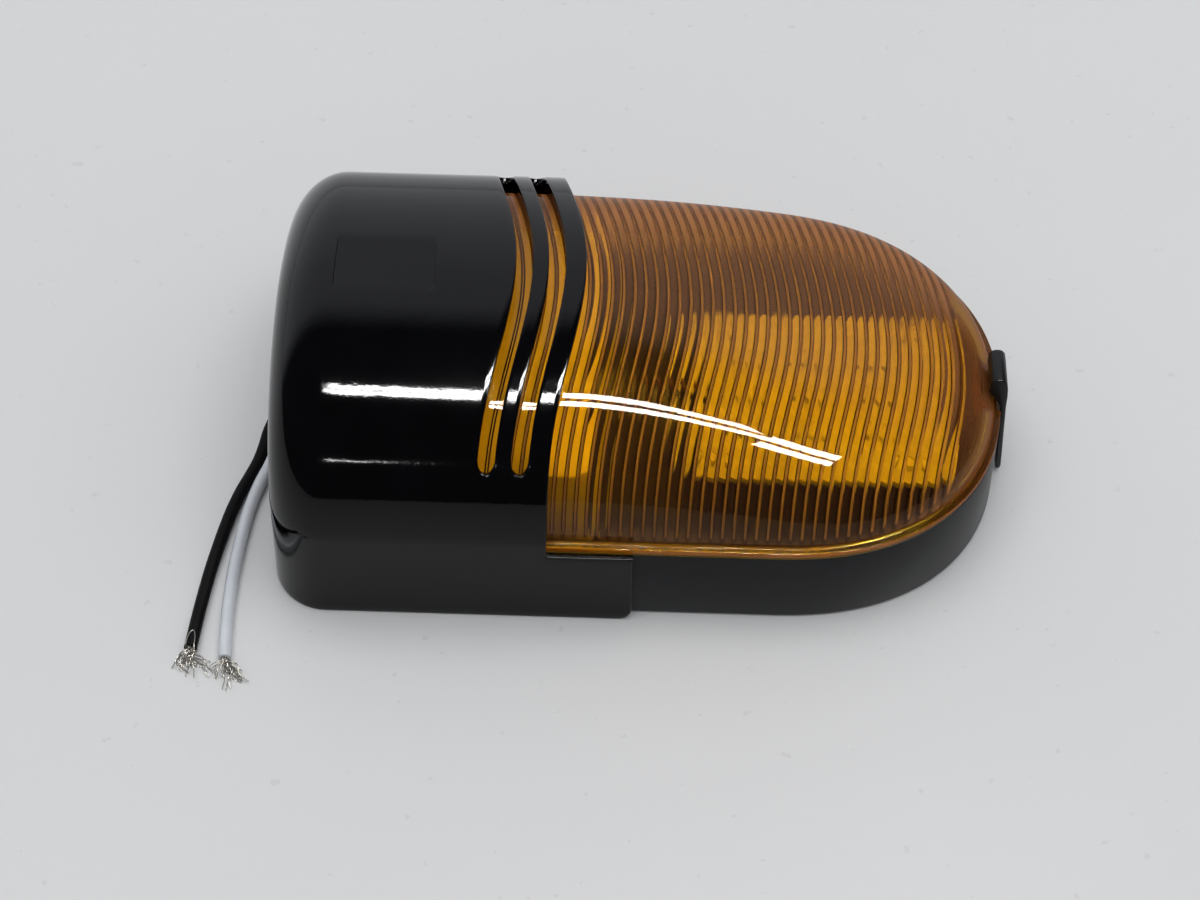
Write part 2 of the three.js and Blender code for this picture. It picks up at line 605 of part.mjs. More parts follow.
// Supply wires outside the lamp: out through the notch, down to the table, then away along it.
const blackRoute = [
  [WIRE_EXIT_X, BLACK_Y, WIRE_EXIT_Z],
  [0.9, BLACK_Y, WIRE_EXIT_Z],
  [-0.9, 4.3, 4.2],
  [-3.2, 1.7, 3.7],
  [-4.5, -2, 3],
  [-5.2, -6, 2.35],
  [-6.1, -10, 1.85],
  [-7.6, -14.6, 1.65],
  [-9.3, -19.4, 1.6],
  [-10.8, -25, 1.6],
  [-12, -31, 1.6],
  [-13, -37, 1.6],
  [-13.9, -43, 1.6],
  [-14.6, -49, 1.6],
  [-15.2, -55, 1.6],
  [-15.7, -61, 1.6],
  [-16.1, -66.5, 1.6],
];
const whiteRoute = [
  [WIRE_EXIT_X, WHITE_Y, WIRE_EXIT_Z],
  [1, WHITE_Y, WIRE_EXIT_Z],
  [-0.2, -2.2, 4.1],
  [-1.4, -5, 3.5],
  [-2.4, -8.4, 2.7],
  [-3.5, -12, 2],
  [-4.9, -16, 1.7],
  [-6.1, -20.6, 1.6],
  [-7.1, -26, 1.6],
  [-7.8, -32, 1.6],
  [-8.3, -38, 1.6],
  [-8.7, -44, 1.6],
  [-8.8, -50, 1.6],
  [-8.8, -56, 1.6],
  [-8.6, -62, 1.6],
  [-8.1, -69, 1.6],
];

// The bare strands past the end of a wire's sleeve, as one tapered plug.
function strands(route) {
  const end = new THREE.Vector3(...route[route.length - 1]);
  const before = new THREE.Vector3(...route[route.length - 2]);
  const ahead = end.clone().sub(before).normalize();
  const geometry = new THREE.CylinderGeometry(1.5, 0.8, STRAND_LENGTH, 8);
  geometry.rotateZ(Math.PI);
  geometry.applyQuaternion(new THREE.Quaternion().setFromUnitVectors(new THREE.Vector3(0, 1, 0), ahead));
  const middle = end.addScaledVector(ahead, FIT_GAP + STRAND_LENGTH / 2);
  return geometry.translate(middle.x, middle.y, middle.z);
}

piece("wire_black", wire(blackRoute, WIRE_DIAMETER, 26), PVC_BLACK);
piece("wire_white", wire(whiteRoute, WIRE_DIAMETER, 26), PVC_WHITE);
piece("strands_black", strands(blackRoute), TINNED);
piece("strands_white", strands(whiteRoute), TINNED);

// The same wires inside the lamp: straight through the grommet and under the clamp, up to the driver.
const leadStart = WIRE_EXIT_X + FIT_GAP;
const leadRoute = (y) => [
  [leadStart, y, WIRE_EXIT_Z],
  [12, y, WIRE_EXIT_Z],
  [19, y, WIRE_EXIT_Z + 0.4],
  [24, y, 8.6],
  [28.5, y, onDriver + 0.2 + WIRE_DIAMETER / 2],
  [34, y, onDriver + WIRE_DIAMETER / 2],
];
piece("lead_black", wire(leadRoute(BLACK_Y), WIRE_DIAMETER, 12), PVC_BLACK);
piece("lead_white", wire(leadRoute(WHITE_Y), WIRE_DIAMETER, 12), PVC_WHITE);

// Thin pair from the driver to the light board.
const boardRoute = (y) => [
  [64, y, onDriver + 0.9],
  [70, y, onDriver + 1],
  [78, y, 12.6],
  [86, y, 19.2],
  [93, y, ledBoardTop + FIT_GAP + 0.9],
  [97, y, ledBoardTop + FIT_GAP + 0.9],
];
piece("board_lead_plus", wire(boardRoute(2), 1.5, 14), material(0x9c1f1a, 0.4));
piece("board_lead_minus", wire(boardRoute(-2), 1.5, 14), PVC_BLACK);

// ---- Grommet and clamp -----------------------------------------------------------------------------

function makeGrommet() {
  const body = solid(block([BODY_BACK_X + 0.1, -6.6, BASE_FLOOR + 0.4], [BODY_BACK_X + 4, 10.6, 8.9]));
  const holeRadius = WIRE_DIAMETER / 2 + FIT_GAP;
  const hole = (y) => {
    const geometry = new THREE.CylinderGeometry(holeRadius, holeRadius, 20, 16);
    return solid(geometry.rotateZ(Math.PI / 2).translate(5, y, WIRE_EXIT_Z + 0.05));
  };
  return body.subtract(hole(BLACK_Y)).subtract(hole(WHITE_Y));
}
piece("cable_grommet", makeGrommet(), RUBBER);

const clampBar = plate(
  roundedRectangle(CLAMP_X - 3, CLAMP_X + 3, (CLAMP_SCREW_Y[1] - CLAMP_SCREW_Y[0]) / 2 + 3.5, 2, 3),
  6.2,
  8.2,
).translate(0, (CLAMP_SCREW_Y[0] + CLAMP_SCREW_Y[1]) / 2, 0);
const clampHoles = CLAMP_SCREW_Y.map((y) => solid(post(CLAMP_X, y, 5, 10, SCREW_HOLE + FIT_GAP, 12)));
piece("cable_clamp", clampHoles.reduce((bar, hole) => bar.subtract(hole), solid(clampBar)), SATIN_BLACK);
CLAMP_SCREW_Y.forEach((y, i) => screw(`clamp_screw_${i + 1}`, CLAMP_X, y, 8.2, 4));

// ---- The finished lamp -----------------------------------------------------------------------------

object.position.x = -X_CENTRE;
const lamp = new THREE.Group();
lamp.add(object);

export default lamp;
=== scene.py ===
import math
import random

import bmesh
import bpy
import numpy as np
from mathutils import Euler, Matrix, Vector
from mathutils.geometry import tessellate_polygon


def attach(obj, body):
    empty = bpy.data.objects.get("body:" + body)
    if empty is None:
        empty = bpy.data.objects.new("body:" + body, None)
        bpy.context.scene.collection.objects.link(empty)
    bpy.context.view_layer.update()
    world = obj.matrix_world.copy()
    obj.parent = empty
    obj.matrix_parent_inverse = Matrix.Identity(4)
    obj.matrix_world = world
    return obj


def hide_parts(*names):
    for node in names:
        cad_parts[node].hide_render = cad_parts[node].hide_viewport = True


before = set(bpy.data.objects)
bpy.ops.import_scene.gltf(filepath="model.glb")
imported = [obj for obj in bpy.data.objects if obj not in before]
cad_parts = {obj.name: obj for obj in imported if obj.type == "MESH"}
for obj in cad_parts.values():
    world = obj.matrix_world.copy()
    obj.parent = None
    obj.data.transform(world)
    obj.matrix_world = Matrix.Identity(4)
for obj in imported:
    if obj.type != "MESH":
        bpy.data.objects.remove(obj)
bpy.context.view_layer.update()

# ---- Units and sizes -----------------------------------------------------------------------------------
# The lamp's own sizes are in millimetres, with x counted from the cable end of the hood, as in the CAD.
# to_frame turns them into the shared frame, in metres.

MM = 0.001
X_CENTRE = 84.9

HOOD_HALF = 53.2
HOOD_TOP = 60.1
HOOD_WALL = 1.7
HOOD_RIM = 0.3
SKIRT_TOP = 26
TAB_TOP = 21.4
TAB_END = 83
TAB_CORNER = 3
END_RADIUS = 13.2
END_CROWN = 1.2
DOME_BASE = -1.9
DOME_POWER_Y, DOME_POWER_Z = 1.8, 4.2
HOOD_EDGE = 63.7
BOW = 3.5
SLOT_HALF = 1.9
SLOT_CENTRES = (-14.0, -6.6)
SLOT_STRAIGHT = 44.9
SLOT_SPREAD = 50.2
RECESS_BACK, RECESS_FRONT, RECESS_HALF, RECESS_CORNER = 14, 36.5, 10, 3
RECESS_Z = HOOD_TOP - 0.5
RECESS_STEP = 0.06
RECESS_ROWS = (10.35, 10.0, 9.65)
RUN_START = 38.5

BODY_BACK, BODY_TIP, BODY_HALF, BODY_CORNER = 3.4, 167.7, 51, 11
TIP_START, TIP_POWER = 114.7, 2.27
TRAY_TOP = 20.5
BOARD_SCREWS_X = (101, 146.5)
PIN_X, PIN_Z = 164, 6
BORE_RADIUS = 1.4

FLANGE_BOTTOM, FLANGE_TOP = 20.8, 22.3
LENS_INSET, LENS_WALL = 1.6, 2.0
LENS_CORNER = 10
LENS_RISE = 28.7
CLEAR_TIP = 12
RIB_PITCH, RIB_FIRST, RIB_LAST = 2.54, 49.3, 150.9
RIB_HEIGHT, RIB_SAG = 0.52, 0.10
RIDGE_HALF = 0.2
RIDGE_TIP = 0.04


def to_frame(points):
    placed = np.array(points, float)
    placed[..., 0] -= X_CENTRE
    return placed * MM


# ---- Camera --------------------------------------------------------------------------------------------

camera_data = bpy.data.cameras.new("camera")
camera_data.sensor_width = 36
camera_data.lens = 95.6
camera_data.clip_start = 0.01
camera_data.clip_end = 50
camera = bpy.data.objects.new("camera", camera_data)
bpy.context.scene.collection.objects.link(camera)
bpy.context.scene.camera = camera
CAMERA_PLACE = Vector((-0.002967, -0.502652, 0.573465))
CAMERA_TURN = Euler([math.radians(angle) for angle in (41.1121, -0.6907, 1.6446)])
camera.matrix_world = Matrix.LocRotScale(CAMERA_PLACE, CAMERA_TURN, None)


# ---- Mesh helpers --------------------------------------------------------------------------------------


def link(name, data):
    obj = bpy.data.objects.new(name, data)
    bpy.context.scene.collection.objects.link(obj)
    return obj


def shade(obj, angle=38):
    """Smooth shading, with edges sharper than the angle kept crisp."""
    mesh = obj.data
    mesh.polygons.foreach_set("use_smooth", [True] * len(mesh.polygons))
    mesh.set_sharp_from_angle(angle=math.radians(angle))
    mesh.update()


def make_object(name, vertices, faces, angle=38):
    mesh = bpy.data.meshes.new(name)
    mesh.from_pydata(to_frame(vertices).tolist(), [], [list(map(int, f)) for f in faces])
    mesh.validate()
    obj = link(name, mesh)
    shade(obj, angle)
    return obj


def grid_faces(points, keep=None, flip=False):
    """Quads of a grid of points, as corner coordinates. keep(row, column) may leave cells out."""
    rows, columns = points.shape[:2]
    quads = []
    for r in range(rows - 1):
        for c in range(columns - 1):
            if keep is None or keep(r, c):
                quad = [points[r, c], points[r, c + 1], points[r + 1, c + 1], points[r + 1, c]]
                quads.append(quad[::-1] if flip else quad)
    return quads


def loop_faces(first, second, flip=False):
    """Quads between two closed loops of the same count."""
    count = len(first)
    quads = []
    for i in range(count):
        j = (i + 1) % count
        quad = [first[i], first[j], second[j], second[i]]
        quads.append(quad[::-1] if flip else quad)
    return quads


def weld(quads):
    """Vertices and faces from corner coordinates: corners at one place become one vertex."""
    flat = np.array(quads, float).reshape(-1, 3)
    _, first, inverse = np.unique(np.round(flat, 3) + 0.0, axis=0, return_index=True, return_inverse=True)
    faces = []
    for corners in inverse.reshape(-1, 4):
        face = [v for i, v in enumerate(corners) if v != corners[i - 1]]
        if len(set(face)) >= 3:
            faces.append(face)
    return flat[first], faces


def unit(vectors):
    length = np.linalg.norm(vectors, axis=-1, keepdims=True)
    return vectors / np.maximum(length, 1e-12)


def vertex_normals(vertices, faces):
    normals = np.zeros_like(vertices)
    for face in faces:
        corners = vertices[face]
        normal = np.zeros(3)
        for i in range(1, len(face) - 1):
            normal += np.cross(corners[i] - corners[0], corners[i + 1] - corners[0])
        normals[face] += normal
    return unit(normals)


def thicken(vertices, faces, wall, rim):
    """A closed shell behind an open surface. Its rims are rounded outwards by the rim radius."""
    normals = vertex_normals(vertices, faces)
    count = len(vertices)
    directed = {(f[i - 1], f[i]) for f in faces for i in range(len(f))}
    border = {a: b for a, b in directed if (b, a) not in directed}
    before = {b: a for a, b in border.items()}
    out = {}
    for v, after in border.items():
        sides = [
            unit(np.cross(vertices[v] - vertices[before[v]], normals[v])),
            unit(np.cross(vertices[after] - vertices[v], normals[v])),
        ]
        out[v] = (sides[0] + sides[1]) / max(1 + float(sides[0] @ sides[1]), 0.6)
    points = list(vertices) + list(vertices - normals * wall)
    solid = list(faces) + [[i + count for i in reversed(f)] for f in faces]
    inner_rim = 0.2
    profile = [(rim * math.sin(a), rim * (1 - math.cos(a))) for a in np.radians([30, 60, 90])]
    profile += [(rim, wall - inner_rim), (rim - inner_rim, wall)]
    rings = [{v: v for v in border}]
    for outwards, depth in profile:
        ring = {}
        for v in border:
            ring[v] = len(points)
            points.append(vertices[v] + out[v] * outwards - normals[v] * depth)
        rings.append(ring)
    rings.append({v: v + count for v in border})
    for first, second in zip(rings, rings[1:]):
        for a, b in border.items():
            solid.append([first[b], first[a], second[a], second[b]])
    return np.array(points), solid


def boolean(obj, other, operation):
    """Applies one boolean and removes the other object."""
    modifier = obj.modifiers.new("cut", "BOOLEAN")
    modifier.operation = operation
    modifier.object = other
    modifier.solver = "MANIFOLD"
    bake(obj)
    bpy.data.objects.remove(other)


def bake(obj):
    """Applies every modifier."""
    evaluated = obj.evaluated_get(bpy.context.evaluated_depsgraph_get())
    mesh = bpy.data.meshes.new_from_object(evaluated)
    obj.modifiers.clear()
    old = obj.data
    obj.data = mesh
    bpy.data.meshes.remove(old)


def bevel(obj, width, segments=3, angle=40):
    modifier = obj.modifiers.new("bevel", "BEVEL")
    modifier.width = width * MM
    modifier.segments = segments
    modifier.limit_method = "ANGLE"
    modifier.angle_limit = math.radians(angle)
    modifier.harden_normals = False
    bake(obj)


def prism(name, outline, low, high, axis="z"):
    """A closed extrusion of an anticlockwise outline of x, y along z, of y, z along x or of x, z along y."""
    count = len(outline)
    if axis == "z":
        ends = [[(x, y, z) for x, y in outline] for z in (low, high)]
    elif axis == "x":
        ends = [[(x, y, z) for y, z in outline] for x in (low, high)]
    else:
        ends = [[(x, y, z) for x, z in outline] for y in (high, low)]
    faces = [list(range(count))[::-1], list(range(count, 2 * count))]
    faces += [[i, (i + 1) % count, (i + 1) % count + count, i + count] for i in range(count)]
    return make_object(name, ends[0] + ends[1], faces)


def box_between(name, low, high):
    (x0, y0, z0), (x1, y1, z1) = low, high
    return prism(name, [(x0, y0), (x1, y0), (x1, y1), (x0, y1)], z0, z1)

def circle(first, second, radius, segments):
    turn = [2 * math.pi * i / segments for i in range(segments)]
    return [(first + radius * math.cos(a), second + radius * math.sin(a)) for a in turn]


def rod(name, x, y, low, high, radius, segments=40):
    return prism(name, circle(x, y, radius, segments), low, high)


def cross_rod(name, low, high, radius, segments=40):
    """A rod along y on the clip's pin axis. Known fault: its outline is clockwise, so its faces point in."""
    return prism(name, circle(PIN_X, PIN_Z, radius, segments)[::-1], low, high, "y")


def rounded_rectangle(x0, x1, y0, y1, corner, steps=8):
    left, right, bottom, top = x0 + corner, x1 - corner, y0 + corner, y1 - corner
    loop = []
    for side, (cx, cy) in enumerate([(right, top), (left, top), (left, bottom), (right, bottom)]):
        for i in range(steps + 1):
            a = (side + i / steps) * math.pi / 2
            loop.append((cx + corner * math.cos(a), cy + corner * math.sin(a)))
    return loop


def clean_mesh(obj, flatten=False):
    """Merges vertices that lie at one place and, if asked, faces that lie in one plane."""
    mesh = bmesh.new()
    mesh.from_mesh(obj.data)
    bmesh.ops.remove_doubles(mesh, verts=mesh.verts, dist=1e-6)
    if flatten:
        bmesh.ops.dissolve_limit(mesh, angle_limit=math.radians(1), verts=mesh.verts, edges=mesh.edges)
    mesh.to_mesh(obj.data)
    mesh.free()


# ---- Node helpers --------------------------------------------------------------------------------------


class Tree:
    """An emptied node tree of a material or world, with short ways to add and join nodes."""

    def __init__(self, owner):
        owner.use_nodes = True
        self.tree = owner.node_tree
        self.tree.nodes.clear()

    def add(self, kind, **values):
        node = self.tree.nodes.new(kind)
        for key, value in values.items():
            setattr(node, key, value)
        return node

    def wire(self, source, target):
        self.tree.links.new(source, target)

    def feed(self, socket, value):
        """Wires a socket, or sets it to a number or a colour."""
        if isinstance(value, bpy.types.NodeSocket):
            self.wire(value, socket)
        elif isinstance(value, tuple):
            socket.default_value = (*value, 1)
        else:
            socket.default_value = value

    def span(self, source, low, high, to_low, to_high, **values):
        node = self.add("ShaderNodeMapRange", **values)
        self.wire(source, node.inputs["Value"])
        for key, value in zip(("From Min", "From Max", "To Min", "To Max"), (low, high, to_low, to_high)):
            node.inputs[key].default_value = value
        return node.outputs[0]

    def maths(self, operation, *values):
        node = self.add("ShaderNodeMath", operation=operation)
        for socket, value in zip(node.inputs, values):
            self.feed(socket, value)
        return node.outputs[0]

    def mix(self, share, first, second, kind="RGBA"):
        node = self.add("ShaderNodeMix", data_type=kind)
        for key, value in (("Factor", share), ("A", first), ("B", second)):
            self.feed(node.inputs[key], value)
        return node.outputs["Result"]

    def blend(self, share, first, second):
        """One shader turning into another."""
        node = self.add("ShaderNodeMixShader")
        for socket, value in zip(node.inputs, (share, first, second)):
            self.wire(value, socket)
        return node.outputs[0]


class Nodes(Tree):
    """A material's node tree, with a Principled shader already wired to the output."""

    def __init__(self, name):
        self.material = bpy.data.materials.new(name)
        super().__init__(self.material)
        self.output = self.add("ShaderNodeOutputMaterial")
        self.shader = self.add("ShaderNodeBsdfPrincipled")
        self.wire(self.shader.outputs[0], self.output.inputs[0])
        self.place = self.add("ShaderNodeTexCoord").outputs["Object"]

    def noise(self, scale, detail=3.0, roughness=0.5):
        node = self.add("ShaderNodeTexNoise")
        node.inputs["Scale"].default_value = scale
        node.inputs["Detail"].default_value = detail
        node.inputs["Roughness"].default_value = roughness
        self.wire(self.place, node.inputs["Vector"])
        return node.outputs["Fac"]

    def patches(self, scale, detail, low=0, high=1):
        """Soft patches of noise that run from low to high."""
        return self.span(self.noise(scale, detail), 0.3, 0.7, low, high)

    def bump(self, height, distance, onto=None):
        node = self.add("ShaderNodeBump")
        node.inputs["Strength"].default_value = 1.0
        node.inputs["Distance"].default_value = distance
        self.wire(height, node.inputs["Height"])
        if onto is not None:
            self.wire(onto, node.inputs["Normal"])
        return node.outputs[0]

    def set(self, **values):
        for key, value in values.items():
            self.feed(self.shader.inputs[key.replace("_", " ")], value)
        return self.material


# ---- Materials -----------------------------------------------------------------------------------------


def moulded(name, dark, light, rough, grain=2500, depth=0.00002, peel=None, specular=0.5, wear=0.12):
    """Moulded plastic: uneven tone, uneven gloss, a fine grain and perhaps a long orange peel."""
    n = Nodes(name)
    tone = n.noise(90, 5, roughness=0.6)
    normal = n.bump(n.noise(grain, 2), depth)
    if peel:
        normal = n.bump(n.noise(peel[0], 1), peel[1], onto=normal)
    return n.set(
        Base_Color=n.mix(n.span(tone, 0.35, 0.65, 0, 1), dark, light),
        Roughness=n.patches(45, 4, rough * (1 - wear), rough * (1 + wear)),
        Specular_IOR_Level=specular,
        Normal=normal,
    )


def rib_wave(n):
    """A wave with its crests on the ribs' ridges, and a mask of 1 where the lens is ribbed."""
    axes = n.add("ShaderNodeSeparateXYZ")
    n.wire(n.place, axes.inputs[0])
    x, y, z = axes.outputs
    swing = n.maths("MULTIPLY", y, math.pi / (HOOD_HALF * MM))
    forward = n.maths("MULTIPLY", n.maths("ADD", n.maths("COSINE", swing), 1.0), BOW * MM)
    along = n.maths("SUBTRACT", n.maths("SUBTRACT", x, forward), (RIB_FIRST - X_CENTRE) * MM)
    wave = n.maths("COSINE", n.maths("MULTIPLY", along, 2 * math.pi / (RIB_PITCH * MM)))
    last = RIB_LAST - RIB_FIRST
    ahead = n.span(along, 0, MM, 0.0, 1.0)
    behind = n.span(along, last * MM, (last + 1) * MM, 1.0, 0.0)
    above = n.span(z, (FLANGE_TOP + 0.8) * MM, (FLANGE_TOP + 1.6) * MM, 0.0, 1.0)
    return wave, n.maths("MULTIPLY", n.maths("MULTIPLY", ahead, behind), above)


# Share of painted shade in the clouded outer skin where the lens has no ribs.
PLAIN_SHADOW = 0.62


def rib_shadow(n):
    """0 to 1 across each rib: painted shade in the clouded outer skin, darkest along the ridges, with a fixed
    share of it where the lens has no ribs.
    """
    wave, ribbed = rib_wave(n)
    shadow = n.span(wave, -0.35, 0.75, 0.0, 1.0)
    plain = n.maths("MULTIPLY", n.maths("SUBTRACT", 1.0, ribbed), PLAIN_SHADOW)
    return n.maths("ADD", n.maths("MULTIPLY", shadow, ribbed), plain)


def with_painted_ridge_highlights(n, under):
    """Lays a matt brown line along each ridge, a painted highlight for the light the ridges pass on by
    internal reflection. It isn't refraction, only a stripe in the material.
    """
    wave, ribbed = rib_wave(n)
    line = n.add("ShaderNodeBsdfDiffuse")
    n.feed(line.inputs["Color"], (0.40, 0.235, 0.36))
    share = n.maths("MULTIPLY", n.span(wave, 0.62, 0.88, 0.0, 0.8), ribbed)
    return n.blend(share, under, line.outputs[0])


AMBER_SHADOW = (0.72, 0.54, 0.11)
AMBER_INDEX = 1.5


def amber(name, rough, mirror, clouded):
    """Clear amber: glass that lets its colour through to shadows too. Its outside is clouded where it is seen
    edge-on, with painted shade along the ribs. Its inside is mostly plain refraction, except where it is seen
    edge-on, and has painted highlight lines on the ridges."""
    n = Nodes(name)
    uneven = n.span(n.noise(140, 3), 0.4, 0.75, rough * 0.6, rough * 1.8)
    n.set(
        Base_Color=n.mix(n.patches(60, 2), (0.60, 0.40, 0.022), (0.64, 0.435, 0.028)),
        Roughness=uneven,
        IOR=AMBER_INDEX,
        Specular_Tint=mirror,
        Transmission_Weight=1.0,
        Normal=n.bump(n.noise(45, 1), 0.00002),
    )
    edge = n.add("ShaderNodeLayerWeight")
    edge.inputs["Blend"].default_value = 0.5
    if clouded:
        other = n.add("ShaderNodeBsdfDiffuse")
        cloud = n.mix(n.patches(25, 3), (0.45, 0.168, 0.056), (0.51, 0.20, 0.07))
        # Painted rib shade: the clouded skin's colour turns towards this dark brown along each ridge.
        n.wire(n.mix(rib_shadow(n), cloud, (0.13, 0.036, 0.010)), other.inputs["Color"])
        share = n.span(edge.outputs["Facing"], 0.2, 0.58, 0.07, 0.66)
    else:
        other = n.add("ShaderNodeBsdfRefraction")
        n.feed(other.inputs["Color"], (0.79, 0.65, 0.158))
        other.inputs["IOR"].default_value = AMBER_INDEX
        n.wire(uneven, other.inputs["Roughness"])
        share = n.span(edge.outputs["Facing"], 0.6, 0.8, 0.68, 0.0)
    seen = n.blend(share, n.shader.outputs[0], other.outputs[0])
    # The inner surface gets a painted highlight line along each ridge.
    if not clouded:
        seen = with_painted_ridge_highlights(n, seen)
    clear = n.add("ShaderNodeBsdfTransparent")
    n.feed(clear.inputs["Color"], AMBER_SHADOW)
    is_shadow = n.add("ShaderNodeLightPath").outputs["Is Shadow Ray"]
    n.wire(n.blend(is_shadow, seen, clear.outputs[0]), n.output.inputs[0])
    return n.material


def metal(name, colour, rough, scale=900, metallic=1.0):
    """Metal with a fine brushed grain."""
    n = Nodes(name)
    brushed = n.noise(scale, 3)
    return n.set(
        Base_Color=n.mix(n.span(brushed, 0.3, 0.7, 0, 1), tuple(c * 0.8 for c in colour), colour),
        Metallic=metallic,
        Roughness=n.patches(300, 4, rough * 0.7, rough * 1.3),
        Normal=n.bump(brushed, 0.00001),
    )


def circuit(name, mask, trace):
    """Solder mask over a layout of traces: a faint relief and a slightly different tone."""
    n = Nodes(name)
    bricks = n.add("ShaderNodeTexBrick")
    for key, value in (
        ("Scale", 1),
        ("Mortar Size", 0.0007),
        ("Brick Width", 0.011),
        ("Row Height", 0.0052),
        ("Mortar Smooth", 0.1),
    ):
        bricks.inputs[key].default_value = value
    n.wire(n.place, bricks.inputs["Vector"])
    lines = bricks.outputs["Fac"]
    speckle = n.span(n.noise(1600, 2), 0.35, 0.65, 0, 0.18)
    return n.set(
        Base_Color=n.mix(speckle, n.mix(lines, mask, trace), tuple(c * 0.82 for c in mask)),
        Roughness=n.patches(200, 3, 0.4, 0.55),
        Specular_IOR_Level=0.15,
        Normal=n.bump(lines, 0.00003),
    )


M = {
    "hood": moulded(
        "hood_gloss", (0.0011, 0.0012, 0.0016), (0.0018, 0.0019, 0.0025), 0.055, 1500, 0.000006,
        (380, 0.000010), specular=0.26, wear=0.3,
    ),
    "tray": moulded(
        "tray_satin", (0.0045, 0.005, 0.006), (0.0075, 0.008, 0.0095), 0.36, 3000, 0.00003, specular=0.22
    ),
    "latch": moulded(
        "latch_satin", (0.0035, 0.0035, 0.004), (0.006, 0.006, 0.007), 0.36, 2600, 0.00003, specular=0.26
    ),
    "rubber": moulded("rubber", (0.010, 0.010, 0.011), (0.018, 0.018, 0.019), 0.75, 1500, 0.00006),
    "cover": moulded(
        "white_plastic", (0.60, 0.59, 0.55), (0.66, 0.65, 0.61), 0.5, 2200, 0.00003, specular=0.2
    ),
    "chip": moulded("chip_plastic", (0.010, 0.010, 0.011), (0.02, 0.02, 0.021), 0.5, 5000, 0.00003),
    "sleeve": moulded("capacitor_sleeve", (0.012, 0.03, 0.10), (0.02, 0.045, 0.14), 0.3, 1800, 0.00002),
    "led": moulded(
        "led_phosphor", (0.50, 0.495, 0.41), (0.54, 0.535, 0.46), 0.45, 6000, 0.00003, specular=0.2
    ),
    "pvc_black": moulded(
        "pvc_black", (0.0025, 0.0025, 0.003), (0.005, 0.005, 0.006), 0.5, 1500, 0.00004,
        (260, 0.00005), specular=0.08,
    ),
    "pvc_white": moulded(
        "pvc_white", (0.66, 0.69, 0.74), (0.76, 0.79, 0.83), 0.36, 1500, 0.00004, (260, 0.00008)
    ),
    "pvc_red": moulded("pvc_red", (0.06, 0.006, 0.005), (0.09, 0.009, 0.008), 0.36, 1500, 0.00004),
    "board": circuit("white_board", (0.48, 0.48, 0.41), (0.53, 0.53, 0.46)),
    "driver": circuit("green_board", (0.012, 0.09, 0.035), (0.03, 0.16, 0.06)),
    "steel": metal("steel", (0.62, 0.62, 0.63), 0.35, metallic=0.7),
    "copper": metal("copper_winding", (0.62, 0.28, 0.12), 0.35, 500),
    "tinned": metal("tinned_strands", (0.40, 0.38, 0.34), 0.38, 4000),
    "amber": amber("lens_amber", 0.012, (0.42, 0.38, 0.34), True),
    "ribs": amber("lens_amber_ribs", 0.13, (0.2, 0.16, 0.1), False),
}


def finish_piece(obj, material, body, slot, *nodes):
    obj.data.materials.clear()
    obj.data.materials.append(M[material])
    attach(obj, body)
    if nodes:
        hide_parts(*nodes)
    return obj


# ---- Wires ---------------------------------------------------------------------------------------------

BLACK_ROUTE = [
    (2, 5, 4.4), (0.9, 5, 4.4), (-0.9, 4.3, 4.2), (-3.2, 1.7, 3.7), (-4.5, -2, 3), (-5.2, -6, 2.35),
    (-6.1, -10, 1.85), (-7.6, -14.6, 1.65), (-9.3, -19.4, 1.6), (-10.8, -25, 1.6), (-12, -31, 1.6),
    (-13, -37, 1.6), (-13.9, -43, 1.6), (-14.6, -49, 1.6), (-15.2, -55, 1.6), (-15.7, -61, 1.6),
    (-16.1, -66.5, 1.6),
]
WHITE_ROUTE = [
    (2, -1, 4.4), (1, -1, 4.4), (-0.2, -2.2, 4.1), (-1.4, -5, 3.5), (-2.4, -8.4, 2.7), (-3.5, -12, 2),
    (-4.9, -16, 1.7), (-6.1, -20.6, 1.6), (-7.1, -26, 1.6), (-7.8, -32, 1.6), (-8.3, -38, 1.6),
    (-8.7, -44, 1.6), (-8.8, -50, 1.6), (-8.8, -56, 1.6), (-8.6, -62, 1.6), (-8.1, -69, 1.6),
]
WIRE_DIAMETER = 3.0
STRAND_DIAMETER = 0.2
STRAND_STEPS = 26
GOLDEN_ANGLE = 2.399963
STRAND_LOW, STRAND_HIGH = 0.12, 5.2


def smooth_route(points, steps=8):
    """Points on the centripetal Catmull-Rom curve through the route, as in the CAD."""
    p = np.array(points, float)
    p = np.vstack([2 * p[0] - p[1], p, 2 * p[-1] - p[-2]])
    result = [p[1]]
    for i in range(1, len(p) - 2):
        before, here, after = [math.sqrt(np.linalg.norm(p[k + 1] - p[k])) for k in (i - 1, i, i + 1)]
        pace = (p[i + 1] - p[i]) / here
        start = (p[i] - p[i - 1]) / before - (p[i + 1] - p[i - 1]) / (before + here) + pace
        end = pace - (p[i + 2] - p[i]) / (here + after) + (p[i + 2] - p[i + 1]) / after
        start, end = start * here, end * here
        for k in range(1, steps + 1):
            t = k / steps
            h = (2 * t**3 - 3 * t**2 + 1, t**3 - 2 * t**2 + t, -2 * t**3 + 3 * t**2, t**3 - t**2)
            result.append(h[0] * p[i] + h[1] * start + h[2] * p[i + 1] + h[3] * end)
    return np.array(result)


def tube(name, paths, diameter, rings=6):
    """A curve object with one open spline for each path, in millimetres."""
    data = bpy.data.curves.new(name, "CURVE")
    data.dimensions = "3D"
    data.bevel_depth = diameter / 2 * MM
    data.bevel_resolution = rings
    data.use_fill_caps = True
    for path in paths:
        spline = data.splines.new("POLY")
        spline.points.add(len(path) - 1)
        for spot, place in zip(spline.points, to_frame(path)):
            spot.co = (*place, 1)
    return link(name, data)


